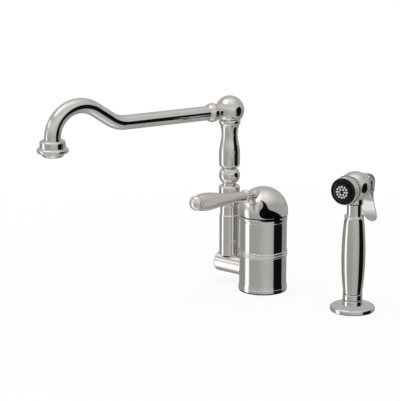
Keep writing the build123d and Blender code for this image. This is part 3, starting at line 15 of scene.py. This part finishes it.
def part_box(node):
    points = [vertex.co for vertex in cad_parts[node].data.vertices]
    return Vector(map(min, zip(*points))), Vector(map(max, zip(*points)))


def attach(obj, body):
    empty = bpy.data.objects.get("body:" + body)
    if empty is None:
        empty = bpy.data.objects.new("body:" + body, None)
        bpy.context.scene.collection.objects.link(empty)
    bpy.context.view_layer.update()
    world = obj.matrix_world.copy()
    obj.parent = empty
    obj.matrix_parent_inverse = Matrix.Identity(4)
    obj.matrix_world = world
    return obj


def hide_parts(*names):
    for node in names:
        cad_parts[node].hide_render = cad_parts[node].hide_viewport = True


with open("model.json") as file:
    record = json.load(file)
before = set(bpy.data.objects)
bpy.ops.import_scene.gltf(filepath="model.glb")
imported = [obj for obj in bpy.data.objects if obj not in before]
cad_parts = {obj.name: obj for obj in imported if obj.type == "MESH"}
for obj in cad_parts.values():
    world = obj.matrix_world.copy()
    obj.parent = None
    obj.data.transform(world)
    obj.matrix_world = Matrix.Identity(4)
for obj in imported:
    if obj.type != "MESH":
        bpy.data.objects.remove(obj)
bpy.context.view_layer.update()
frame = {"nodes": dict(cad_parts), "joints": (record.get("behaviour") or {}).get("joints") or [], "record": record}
print("CAD nodes:", len(frame["nodes"]))

# %% [markdown]
# ## Three small helpers
# Colours are written as the hex values a paint chart would use, and Blender wants them
# linear. Shader nodes could be dragged out by hand or added one call at a time. Here one
# function adds a node, sets its properties and links it, so that each material below
# reads as a short list of what it is made from.


# %% Helpers
def linear(hex_colour):
    """sRGB hex colour as linear red, green, blue and full alpha."""
    parts = [int(hex_colour[i:i + 2], 16) / 255 for i in (1, 3, 5)]
    low = [p / 12.92 if p <= 0.04045 else ((p + 0.055) / 1.055) ** 2.4 for p in parts]
    return (*low, 1.0)


def add(tree, kind, settings=None, **links):
    """Add a node: settings are its properties, links its inputs by name or by number.

    A link is a plain value, a socket, or a node, whose first output in use is taken.
    Inputs that share a name go by number, such as i0 and i1 for the two of a sum.
    """
    node = tree.nodes.new(kind)
    for name, value in (settings or {}).items():
        setattr(node, name, value)
    for name, value in links.items():
        if name[1:].isdigit():
            socket = node.inputs[int(name[1:])]
        else:
            title = name.replace("_", " ")
            socket = next(s for s in node.inputs if s.enabled and s.name == title)
        if isinstance(value, bpy.types.Node):
            value = next(s for s in value.outputs if s.enabled)
        if isinstance(value, bpy.types.NodeSocket):
            tree.links.new(value, socket)
        else:
            socket.default_value = value
    return node


def new_material(name):
    """An empty node material and its tree."""
    material = bpy.data.materials.new(name)
    material.use_nodes = True
    material.node_tree.nodes.clear()
    return material, material.node_tree


white = linear("#ffffff")
print("plain white is", white[:3])

# %% [markdown]
# ## What all the finishes share
# No real surface is one flat colour. A faint haze makes the plating, the mouldings and
# the ceramic a little lighter and duller in places, and a relief far too low to see as
# shape bends the reflections. Both could be painted as images. They are made with noise
# textures instead, because those have a real size in millimetres at any distance.


# %% Surface from haze and relief
def finish_surface(tree, haze, relief, colours, rough, strength, depth_mm, **shader_values):
    """Colour and gloss follow the haze between two values each, the bump the relief."""
    tint = add(
        tree, "ShaderNodeMix", {"data_type": "RGBA"},
        Factor=haze, A=linear(colours[0]), B=linear(colours[1]),
    )
    gloss = add(tree, "ShaderNodeMapRange", Value=haze, To_Min=rough[0], To_Max=rough[1])
    bump = add(
        tree, "ShaderNodeBump", Height=relief, Strength=strength, Distance=depth_mm / 1000,
    )
    shader = add(
        tree, "ShaderNodeBsdfPrincipled",
        Base_Color=tint, Roughness=gloss, Normal=bump, **shader_values,
    )
    add(tree, "ShaderNodeOutputMaterial", Surface=shader)


print("surface helper ready")

# %% [markdown]
# ## Polished nickel on brass
# The bright parts are turned or cast brass, buffed and plated with nickel. The plating
# is a mirror with a warm grey tint. What gives it away as real metal is a faint ripple
# left by the buffing wheel, some 6 mm from crest to crest, and a little haze over areas
# of about 11 mm. The colour hardly varies, so its two ends lie close together.


# %% Polished nickel
def polished_nickel():
    """Buffed and plated brass: a warm mirror with a faint ripple."""
    haze_mm, ripple_mm = 11.1, 6.25
    material, tree = new_material("polished_nickel")
    place = add(tree, "ShaderNodeTexCoord").outputs["Object"]
    haze = add(tree, "ShaderNodeTexNoise", Vector=place, Scale=1000 / haze_mm, Detail=3.0)
    ripple = add(tree, "ShaderNodeTexNoise", Vector=place, Scale=1000 / ripple_mm, Detail=1.0)
    finish_surface(
        tree, haze, ripple, ("#dad7d3", "#e0ddda"),
        rough=(0.03, 0.06), strength=0.10, depth_mm=0.06, Metallic=1.0,
    )
    return material


nickel = polished_nickel()
print("made", nickel.name)

# %% [markdown]
# ## Satin nickel
# The two grips carry the same plating over a coarser polish, so reflections blur along
# their length. Fine turned rings run around each grip. They are drawn 0.4 mm apart,
# coarser than the real ones, which are too fine to show. A stretched picture could draw
# them, but noise along one line needs no unwrapping and follows the grip's slant.


# %% Satin nickel
def satin_nickel(name, along, soft, colours):
    """Nickel with fine turned rings square to the direction along; soft is roughness."""
    haze_mm, ring_mm, haze_dulls = 14.3, 0.4, 1.4
    material, tree = new_material(name)
    place = add(tree, "ShaderNodeTexCoord").outputs["Object"]
    down = add(tree, "ShaderNodeVectorMath", {"operation": "DOT_PRODUCT"}, i0=place, i1=along)
    rings = add(
        tree, "ShaderNodeTexNoise", {"noise_dimensions": "1D"},
        W=down, Scale=1000 / ring_mm, Detail=2.0,
    )
    haze = add(tree, "ShaderNodeTexNoise", Vector=place, Scale=1000 / haze_mm, Detail=3.0)
    finish_surface(
        tree, haze, rings, colours,
        rough=(soft, haze_dulls * soft), strength=0.15, depth_mm=0.02, Metallic=1.0,
    )
    return material


lever_pitch = radians(5.5)
lever_line = (0, -cos(lever_pitch), sin(lever_pitch))
upright_line = (0, 0, 1)
grip_satin = satin_nickel(
    "satin_nickel_spray_grip", upright_line, 0.045, ("#d4cfca", "#dcd7d2"),
)
lever_satin = satin_nickel("satin_nickel_lever", lever_line, 0.21, ("#e2ddd8", "#e9e5e0"))
print("made", grip_satin.name, "and", lever_satin.name)

# %% [markdown]
# ## Moulded, turned and ground pieces
# The rest is simpler: mouldings with the fine grain of a spark-eroded mould, rubber, bare
# brass and steel with turning marks, and ground ceramic. Each could have a function of
# its own. One serves them all, because they differ only in colour, gloss and grain.


# %% Grained materials
def grained(name, colours, grain_mm, rough, depth_mm, **shader_values):
    """A material with a fine random grain of a real size and depth."""
    material, tree = new_material(name)
    place = add(tree, "ShaderNodeTexCoord").outputs["Object"]
    grain = add(
        tree, "ShaderNodeTexNoise", Vector=place, Scale=1000.0 / grain_mm, Detail=4.0,
    )
    finish_surface(
        tree, grain, grain, colours, rough, strength=0.5, depth_mm=depth_mm, **shader_values,
    )
    return material


finishes = {
    "polished_nickel": nickel,
    "satin_nickel": grip_satin,
    # Turning leaves a soft warm gleam, dulled by the tool's marks.
    "brass": grained(
        "turned_brass", ("#b48f4c", "#c9a765"),
        grain_mm=0.8, rough=(0.28, 0.40), depth_mm=0.01, Metallic=1.0,
    ),
    # The same marks in steel read as a plain cool grey.
    "stainless": grained(
        "turned_stainless", ("#a5a5a3", "#bcbcba"),
        grain_mm=0.6, rough=(0.25, 0.38), depth_mm=0.01, Metallic=1.0,
    ),
    # Glossy ABS is deep black with small clear highlights. Its IOR starts from 1.54 and is
    # lowered until the spray's face stays as black as in the photo.
    "black_plastic": grained(
        "moulded_abs_black", ("#030303", "#070708"),
        grain_mm=0.9, rough=(0.14, 0.22), depth_mm=0.01, IOR=1.33,
    ),
    # Soft silicone scatters light, so the nubs look pale and even.
    "grey_nubs": grained(
        "moulded_silicone_pale", ("#dededb", "#ececea"),
        grain_mm=0.7, rough=(0.45, 0.6), depth_mm=0.02,
    ),
    # Nitrile rubber is nearly matt and shows as a dark line, which on the spray's seals also paints the shade in
    # its joints.
    "black_rubber": grained(
        "moulded_nitrile_black", ("#101010", "#1c1c1c"),
        grain_mm=0.7, rough=(0.6, 0.8), depth_mm=0.03,
    ),
    # Acetal is a waxy, slightly yellow white.
    "cartridge_plastic": grained(
        "moulded_acetal_white", ("#dad9d2", "#e8e7e1"),
        grain_mm=1.0, rough=(0.35, 0.5), depth_mm=0.02,
    ),
    # Ground alumina is a creamy white, smooth enough to seal against water.
    "ceramic": grained(
        "ground_alumina", ("#e6e3da", "#f1efe8"),
        grain_mm=0.5, rough=(0.15, 0.25), depth_mm=0.005,
    ),
}
print("finishes:", ", ".join(sorted(finishes)))

# %% [markdown]
# ## Every piece gets its finish
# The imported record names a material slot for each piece, so the finishes could be given
# out by that alone. Two exceptions follow the photograph: the lever's grip and button
# are duller than the spray's grip, and the bush in the spray's head gleams pale, not gold.

# %% Dress the nodes
special = {
    "lever_grip": lever_satin,
    "lever_button": lever_satin,
    "valve_bush": finishes["stainless"],
}
for part in frame["record"]["subparts"]:
    finish = special.get(part["node"], finishes[part["material_slot"]])
    slots = frame["nodes"][part["node"]].data.materials
    slots.clear()
    slots.append(finish)

# %% [markdown]
# ## Where the side spray stands
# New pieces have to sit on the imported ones, so their places come from the frame. The
# spray turns about an upright axis, which is the middle of its holder, and its valve
# plunger slides along the line that the nozzle faces.

# %% Spray axis
joints = {joint["name"]: joint for joint in frame["joints"]}
spray_x, spray_y = joints["spray_turn"]["pos_m"][:2]
spray_foot = Vector((spray_x, spray_y, 0.0))
spray_ahead = Vector(joints["plunger_slide"]["axis"])
up = Vector((0.0, 0.0, 1.0))
print("spray stands", round(spray_x * 1000), "mm from the mixer body")

# %% [markdown]
# ## A ring from a grid of points
# Seals and the plate under the spray are all bodies of revolution. A curve with a bevel,
# a screw modifier or a lathe in mesh code would each do. Mesh code is used, because one
# function then turns any closed profile about any axis and gives even faces.


# %% Turned pieces
def turned(name, middle, axis, profile, steps, finish, body):
    """Turn a closed profile of (radius, height) points in mm about an axis."""
    upright = Vector(axis).to_track_quat("Z", "Y").to_matrix()
    points, faces = [], []
    count = len(profile)
    for step in range(steps):
        about = 2 * pi * step / steps
        after = (step + 1) % steps
        for spot, (radius, height) in enumerate(profile):
            following = (spot + 1) % count
            points.append(middle + upright @ Vector((
                radius * cos(about) / 1000, radius * sin(about) / 1000, height / 1000,
            )))
            faces.append((
                step * count + spot, after * count + spot,
                after * count + following, step * count + following,
            ))
    mesh = bpy.data.meshes.new(name)
    mesh.from_pydata(points, [], faces)
    mesh.shade_smooth()
    mesh.materials.append(finish)
    piece = bpy.data.objects.new(name, mesh)
    bpy.context.scene.collection.objects.link(piece)
    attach(piece, body)
    return piece


print("lathe ready")

# %% [markdown]
# ## Black seals that paint the shade in the spray's joints
# Thin rubber rings close the joints of the spray: behind the nozzle ring, between head and
# neck, and above and below the ferrule. On the real spray these joints show as fine dark
# lines of shade, and the rings' black paints that shade as well as the rubber. They could
# be drawn in a material, but a drawn line lies flat on the metal, and these stand a little
# proud of it. So each is a small oval ring.


# %% Seals
def shade_line_seal(name, middle, axis, radius, wide, thick, body):
    """Oval rubber ring that paints a joint's shade; radius, and half its section's width and height, in mm."""
    sides, steps = 12, 72
    corners = [2 * pi * side / sides for side in range(sides)]
    oval = [(radius + wide * cos(corner), thick * sin(corner)) for corner in corners]
    return turned(
        name, middle, axis, oval, steps, finishes["black_rubber"], body,
    )


ball_height, nozzle_joint = 0.1406, 0.0197
under_head, under_grip, over_holder = 0.0006, 0.0001, 0.0001
# The rings' black is partly painted shade: the dark line that each joint casts.
shade_line_seal(
    "nozzle_shade_seal", spray_foot + ball_height * up + nozzle_joint * spray_ahead, spray_ahead,
    radius=14.35, wide=1.3, thick=0.55, body="hand_spray",
)
neck_seal_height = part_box("spray_head")[0].z - under_head
shade_line_seal(
    "neck_shade_seal", spray_foot + neck_seal_height * up, up,
    radius=8.7, wide=0.75, thick=0.65, body="hand_spray",
)
ferrule_seal_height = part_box("spray_grip")[0].z - under_grip
ferrule_shade_seal = shade_line_seal(
    "ferrule_shade_seal", spray_foot + ferrule_seal_height * up, up,
    radius=10.3, wide=0.5, thick=0.4, body="hose_end",
)
holder_seal_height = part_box("spray_holder")[1].z + over_holder
holder_shade_seal = shade_line_seal(
    "holder_shade_seal", spray_foot + holder_seal_height * up, up,
    radius=10.5, wide=0.55, thick=0.4, body="base",
)
print("four seals on the side spray")

# %% [markdown]
# ## The escutcheon
# The plate under the side spray is spun brass with a thick, rounded rim. The rim catches
# the strip light and the flag, so its roundness is what the eye reads. It is turned like
# the seals, from a profile whose quarter round has ten steps, and stands for the plainer
# flange of the frame. Edges that bend by more than 35 degrees are marked sharp, so that
# the round is shaded smooth and the flats stay flat.

# %% Escutcheon
rim_radius, rim_round, rim_top, plate_top = 24.8, 2.3, 5.6, 6.4
thread_bore, holder_bore, underside, holder_seat = 10.3, 11.3, 0.8, 4.4
rim_steps, plate_steps, sharp_bend = 10, 128, radians(35)
rim = []
for step in range(rim_steps + 1):
    bend = pi / 2 * step / rim_steps
    rim.append((
        rim_radius - rim_round * (1 - cos(bend)),
        rim_top - rim_round * (1 - sin(bend)),
    ))
plate = [
    (thread_bore, underside), (rim_radius, underside), *rim,
    (holder_bore, plate_top), (holder_bore, holder_seat), (thread_bore, holder_seat),
]
escutcheon = turned(
    "escutcheon", spray_foot, up, plate, plate_steps, nickel, "base",
)
escutcheon.data.set_sharp_from_angle(angle=sharp_bend)
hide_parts("spray_flange")
print("escutcheon", 2 * rim_radius, "mm across and", plate_top, "mm high")

# %% [markdown]
# ## The camera
# The photo was taken with a long lens from about two metres: the tall and the low parts
# hardly converge. The camera could be aimed by eye. It is placed by a fit instead: its
# two angles, its distance, its focal length in pixels of the photo, and the pixel where
# the middle of the mixer body's foot shows.

# %% Camera
azimuth, elevation = radians(40.0), radians(13.7)
photo_wide_px, photo_tall_px = 400.0, 401.0
foot_across_px, foot_down_px = 262.6, 288.6
focal_px, distance = 1700.0, 1.965
to_camera = Vector((
    sin(azimuth) * cos(elevation), -cos(azimuth) * cos(elevation), sin(elevation),
))
to_right = Vector((cos(azimuth), sin(azimuth), 0.0))
to_top = to_camera.cross(to_right)
metres_a_px = distance / focal_px
camera_place = (
    to_camera * distance
    - to_right * (foot_across_px - photo_wide_px / 2) * metres_a_px
    + to_top * (foot_down_px - photo_tall_px / 2) * metres_a_px
)
camera_data = bpy.data.cameras.new("camera")
camera_data.sensor_fit = "HORIZONTAL"
camera_data.sensor_width = 36.0
camera_data.lens = camera_data.sensor_width * focal_px / photo_wide_px
camera_data.clip_end = 100.0
camera = bpy.data.objects.new("camera", camera_data)
bpy.context.scene.collection.objects.link(camera)
camera.matrix_world = Matrix.Translation(camera_place) @ Matrix(
    (to_right, to_top, to_camera)
).transposed().to_4x4()
bpy.context.scene.camera = camera
bpy.context.scene.view_settings.view_transform = "Standard"
print("lens", round(camera_data.lens, 1), "mm")

# %% [markdown]
# ## The studio as a world
# A real set for plated metal is a ring of cards: a grey tent that grows lighter
# overhead, one tall strip light on the left, one black flag on the right and a wide
# soft box above. Built as objects they would block the other views, so they are drawn
# into the world by direction. Each direction becomes two angles: its turn to the right
# of the camera, and its rise over the horizon.

# %% World directions
studio = bpy.data.worlds.new("studio")
studio.use_nodes = True
sky = studio.node_tree
sky.nodes.clear()
ray = add(sky, "ShaderNodeTexCoord").outputs["Generated"]
towards = (sin(azimuth), -cos(azimuth), 0.0)
sideways = (cos(azimuth), sin(azimuth), 0.0)
along = add(sky, "ShaderNodeVectorMath", {"operation": "DOT_PRODUCT"}, i0=ray, i1=towards)
across = add(sky, "ShaderNodeVectorMath", {"operation": "DOT_PRODUCT"}, i0=ray, i1=sideways)
turn = add(sky, "ShaderNodeMath", {"operation": "ARCTAN2"}, i0=across, i1=along)
height = add(sky, "ShaderNodeSeparateXYZ", Vector=ray).outputs["Z"]
rise = add(sky, "ShaderNodeMath", {"operation": "ARCSINE"}, i0=height)
print("directions as turn and rise")

# %% [markdown]
# ## The tent
# The tent is dimmer near the horizon and brightest overhead and underfoot, where the
# white table throws light back. Its front and its rear have different curves, and the
# two melt into each other round the sides. A colour ramp holds each curve: pairs of
# degrees above the horizon and brightness.


# %% Tent
def tent(levels):
    """Brightness of the tent by height: pairs of degrees above the horizon and level."""
    share = add(sky, "ShaderNodeMapRange", Value=rise, From_Min=-pi / 2, From_Max=pi / 2)
    ramp = add(sky, "ShaderNodeValToRGB", Fac=share)
    stops = ramp.color_ramp.elements
    while len(stops) < len(levels):
        stops.new(0.5)
    for stop, (degrees_up, grey) in zip(stops, levels):
        stop.position = (degrees_up + 90) / 180
        stop.color = (grey, grey, grey, 1.0)
    return ramp


front = tent((
    (-90, 1.02), (-74, 0.86), (-58, 0.62), (-40, 0.50), (-22, 0.44), (-8, 0.46),
    (3, 0.54), (20, 0.76), (38, 0.68), (52, 0.74), (66, 0.92), (80, 1.12),
))
rear = tent((
    (-90, 0.70), (-75, 0.50), (-50, 0.35), (-20, 0.325), (-6, 0.38), (10, 0.54),
    (38, 0.56), (60, 0.74), (80, 1.05),
))
front_middle, front_edge, rear_edge = radians(-5), radians(45), radians(115)
off_front = add(sky, "ShaderNodeMath", {"operation": "SUBTRACT"}, i0=turn, i1=front_middle)
off_front = add(sky, "ShaderNodeMath", {"operation": "ABSOLUTE"}, i0=off_front)
facing = add(
    sky, "ShaderNodeMapRange", {"interpolation_type": "SMOOTHSTEP"},
    Value=off_front, From_Min=rear_edge, From_Max=front_edge,
)
light = add(sky, "ShaderNodeMix", {"data_type": "FLOAT"}, Factor=facing, A=rear, B=front)
print("tent with a front and a rear")

# %% [markdown]
# ## The cards on the tent
# Each lamp or flag is a rounded rectangle with a soft edge. A superellipse gives that
# with one formula: both offsets, as shares of the half size, are raised to a power and
# added, and a higher power makes squarer corners. An image of the studio would do as
# well, but numbers in degrees can be moved to where the photo's reflections ask.


# %% Card shape
def card(middle, half, edge, square=2.0):
    """Mask of a rounded card; middle and half are degrees across and up, edge a share."""
    total = None
    for angle, centre, size in zip((turn, rise), middle, half):
        off = add(sky, "ShaderNodeMath", {"operation": "SUBTRACT"}, i0=angle, i1=radians(centre))
        off = add(sky, "ShaderNodeMath", {"operation": "WRAP"}, i0=off, i1=pi, i2=-pi)
        share = add(sky, "ShaderNodeMath", {"operation": "DIVIDE"}, i0=off, i1=radians(size))
        share = add(sky, "ShaderNodeMath", {"operation": "ABSOLUTE"}, i0=share)
        part = add(sky, "ShaderNodeMath", {"operation": "POWER"}, i0=share, i1=square)
        total = part if total is None else add(
            sky, "ShaderNodeMath", {"operation": "ADD"}, i0=total, i1=part,
        )
    reach = add(sky, "ShaderNodeMath", {"operation": "POWER"}, i0=total, i1=1.0 / square)
    return add(
        sky, "ShaderNodeMapRange", {"interpolation_type": "SMOOTHSTEP"},
        Value=reach, From_Min=1.0 + edge, From_Max=1.0 - edge,
    )


print("card shape ready")

# %% [markdown]
# ## Hanging the cards
# The order matters, as on a real set: what is hung later stands in front. First comes a
# soft glow near the camera, then the soft box overhead, a reflector and the tall strip
# light on the left, the black flag on the right, and last the bright patch that the
# strip throws on the table. The flag is what makes polished metal look black and hard.

# %% Cards
glow = add(
    sky, "ShaderNodeMath", {"operation": "MULTIPLY"},
    i0=card(middle=(16, -6), half=(26, 34), edge=0.8), i1=0.12,
)
light = add(sky, "ShaderNodeMath", {"operation": "ADD"}, i0=light, i1=glow)
studio_cards = {
    "soft box": (1.38, card(middle=(-84, 64), half=(50, 18), edge=0.30, square=2.6)),
    "reflector": (1.30, card(middle=(-92, 21), half=(19, 7), edge=0.45, square=2.6)),
    "strip light": (1.55, card(middle=(-85.5, -22), half=(11.5, 27), edge=0.50, square=4.0)),
    "black flag": (0.006, card(middle=(78, -9.5), half=(27.5, 29), edge=0.09, square=2.6)),
    "table patch": (1.08, card(middle=(-78, -54), half=(34, 10), edge=0.5)),
}
for level, mask in studio_cards.values():
    light = add(sky, "ShaderNodeMix", {"data_type": "FLOAT"}, Factor=mask, A=light, B=level)
print("hung:", ", ".join(studio_cards))

# %% [markdown]
# ## White behind the tap
# The photo's ground is plain white. A white tent would make the metal flat white too, so
# the two are kept apart: a ray that comes straight from the camera sees white, and every
# other ray sees the studio.

# %% Camera sees white
camera_ray = add(sky, "ShaderNodeLightPath").outputs["Is Camera Ray"]
shown = add(sky, "ShaderNodeMix", {"data_type": "FLOAT"}, Factor=camera_ray, A=light, B=1.0)
backdrop = add(sky, "ShaderNodeBackground", Color=shown, Strength=1.0)
add(sky, "ShaderNodeOutputWorld", Surface=backdrop)
bpy.context.scene.world = studio
print("studio world with", len(sky.nodes), "nodes")

# %% [markdown]
# ## Cards close to the tap
# A dome mirrors nearly the whole room, so on a real set it gets cards of its own: a
# black one that draws a dark curl on it and a grey one that keeps the far flag off it.
# The world can't draw these, because it lies too far off to change from point to point
# of the dome. So they are sheets of mesh that only mirror rays see, and only from the
# side that faces the tap.


# %% Card that only mirrors see
def near_card(name, points, faces, shade, fade=None):
    """Sheet that only mirror rays see, from one side; fade is two heights in mm."""
    mesh = bpy.data.meshes.new(name)
    mesh.from_pydata(points, [], faces)
    sheet = bpy.data.objects.new(name, mesh)
    bpy.context.scene.collection.objects.link(sheet)
    material, tree = new_material(name)
    face = add(tree, "ShaderNodeEmission", Color=white, Strength=shade)
    clear = add(tree, "ShaderNodeBsdfTransparent")
    hidden = add(tree, "ShaderNodeNewGeometry").outputs["Backfacing"]
    if fade:
        place = add(tree, "ShaderNodeTexCoord").outputs["Object"]
        level = add(tree, "ShaderNodeSeparateXYZ", Vector=place).outputs["Z"]
        gone = add(
            tree, "ShaderNodeMapRange", {"interpolation_type": "SMOOTHSTEP"},
            Value=level, From_Min=fade[0] / 1000, From_Max=fade[1] / 1000,
        )
        hidden = add(tree, "ShaderNodeMath", {"operation": "MAXIMUM"}, i0=hidden, i1=gone)
    mixed = add(tree, "ShaderNodeMixShader", Fac=hidden, i1=face, i2=clear)
    add(tree, "ShaderNodeOutputMaterial", Surface=mixed)
    mesh.materials.append(material)
    sheet.visible_camera = False
    sheet.visible_diffuse = False
    sheet.visible_shadow = False
    return sheet


print("near cards can be hung")

# %% [markdown]
# ## Two bent cards around the dome
# Bent around the dome's axis, a card keeps its distance from the metal, and its outline
# shows there with little stretch. Both start at the height of the body's rim and not
# lower, so that the body hardly mirrors them. A row says how far the card reaches to the
# left and right of the camera at one height, and subdivision rounds the outline between
# the rows. The black one has the curl's shape: wide at the rim, then narrow and swung to
# the left.


# %% Bent cards
def bent_card(name, radius, rows, shade, fade=None):
    """Card on a cylinder about the dome's axis; rows hold height, left and right turn."""
    steps = 12
    points, faces = [], []
    for height_mm, left, right in rows:
        for step in range(steps + 1):
            bearing = azimuth + radians(left + (right - left) * step / steps)
            points.append((
                radius * sin(bearing) / 1000, -radius * cos(bearing) / 1000, height_mm / 1000,
            ))
    for row in range(len(rows) - 1):
        for step in range(steps):
            low = row * (steps + 1) + step
            high = low + steps + 1
            faces.append((low, high, high + 1, low + 1))
    sheet = near_card(name, points, faces, shade, fade)
    smooth = sheet.modifiers.new("smooth outline", "SUBSURF")
    smooth.levels = smooth.render_levels = 2
    smooth.boundary_smooth = "PRESERVE_CORNERS"
    return sheet


black_card_radius, grey_card_radius = 36.0, 37.5
curl_rows = (
    (86, 10, 60), (88, -8, 57), (93, -13, 46), (98, -14, 35), (103, -12, 14), (108, -3, 12),
    (121, -3, 7), (129, -11, 0), (136, -21, -13),
)
screen_rows = (
    (86, -18, 95), (92, -18, 95), (95, -18, 108), (105, -18, 108), (107, -18, 74),
    (110, -18, 57), (135, -18, 45),
)
bent_card("black_card", black_card_radius, curl_rows, shade=0.003)
bent_card("grey_card", grey_card_radius, screen_rows, shade=0.46, fade=(108, 135))
print("dome cards", black_card_radius, "and", grey_card_radius, "mm from its axis")

# %% [markdown]
# ## A straight card beside the lever
# The lever's satin grip would blur the black flag into one dark streak. A flat grey card
# beside it, about as long as the grip and a little taller, hides the flag from it.

# %% Lever card
card_x, card_near_y, card_far_y, card_foot, card_top = 0.030, -0.109, -0.026, 0.096, 0.134
near_card(
    "lever_card",
    [
        (card_x, card_near_y, card_foot), (card_x, card_near_y, card_top),
        (card_x, card_far_y, card_top), (card_x, card_far_y, card_foot),
    ],
    [(0, 1, 2, 3)], shade=0.55,
)
print("lever card hung")

# %% [markdown]
# ## The lower spray stays out of the mirrors
# On the photo's tap, the column and the link pipe show no picture of the spray beside
# them, while a true mirror finish would show one. The spray could be moved farther off,
# but its place is a size of the real set. So its lower pieces are hidden from mirror
# rays. The head stays visible to them, because its own neck and collar mirror it.

# %% Hide the lower spray from mirror rays
unseen = [frame["nodes"][name] for name in (
    "flange_gasket", "spray_holder", "holder_liner", "hose_connector", "spray_grip",
)]
unseen += [escutcheon, holder_shade_seal, ferrule_shade_seal]
for piece in unseen:
    piece.visible_glossy = False
print("hidden from mirror rays:", len(unseen), "pieces")

# %% [markdown]
# ## The floor
# The floor is a white table, nearly as bright as the background, so only a soft contact
# shadow is left, as in a product photo. A grey table would show its far edge as a
# horizon. So what the camera sees of it grows from painted to plain white between a
# quarter of a metre and 0.7 m away from the tap.

# %% Floor
half_floor, floor_drop = 8.0, 0.0004
paint_ends, white_starts, share_near = 0.25, 0.7, 0.86
floor_mesh = bpy.data.meshes.new("floor")
corners = [
    (half_floor * x, half_floor * y, 0.0) for x, y in ((-1, -1), (1, -1), (1, 1), (-1, 1))
]
floor_mesh.from_pydata(corners, [], [(0, 1, 2, 3)])
floor = bpy.data.objects.new("floor", floor_mesh)
floor.location.z = -floor_drop
bpy.context.scene.collection.objects.link(floor)
table, tree = new_material("white_table")
paint = add(tree, "ShaderNodeBsdfDiffuse", Color=linear("#f4f4f4"))
plain = add(tree, "ShaderNodeEmission", Color=white, Strength=1.0)
seen = add(tree, "ShaderNodeLightPath").outputs["Is Camera Ray"]
spot = add(tree, "ShaderNodeTexCoord").outputs["Object"]
away = add(tree, "ShaderNodeVectorMath", {"operation": "LENGTH"}, i0=spot)
whiten = add(
    tree, "ShaderNodeMapRange", {"interpolation_type": "SMOOTHSTEP"},
    Value=away, From_Min=paint_ends, From_Max=white_starts, To_Min=share_near, To_Max=1.0,
)
share = add(tree, "ShaderNodeMath", {"operation": "MULTIPLY"}, i0=seen, i1=whiten)
mixed = add(tree, "ShaderNodeMixShader", Fac=share, i1=paint, i2=plain)
add(tree, "ShaderNodeOutputMaterial", Surface=mixed)
floor_mesh.materials.append(table)
floor.visible_glossy = False
print("floor laid")

# %% [markdown]
# ## The lamp
# The world alone leaves white paint grey. One wide square lamp overhead brings it up to
# white and lays a soft shadow. The metal doesn't mirror the lamp, since the tent already
# has its own bright top.

# %% Lamp
lamp_data = bpy.data.lights.new("overhead", "AREA")
lamp_data.shape = "SQUARE"
lamp_data.size = 1.6
lamp_data.energy = 9.0
lamp = bpy.data.objects.new("overhead", lamp_data)
lamp.location = (-0.1, -0.2, 1.6)
lamp.visible_glossy = False
lamp.visible_camera = False
bpy.context.scene.collection.objects.link(lamp)
print("lamp", lamp_data.size, "m wide")

# %% [markdown]
# ## The end

# %% Finish
print("scene built")
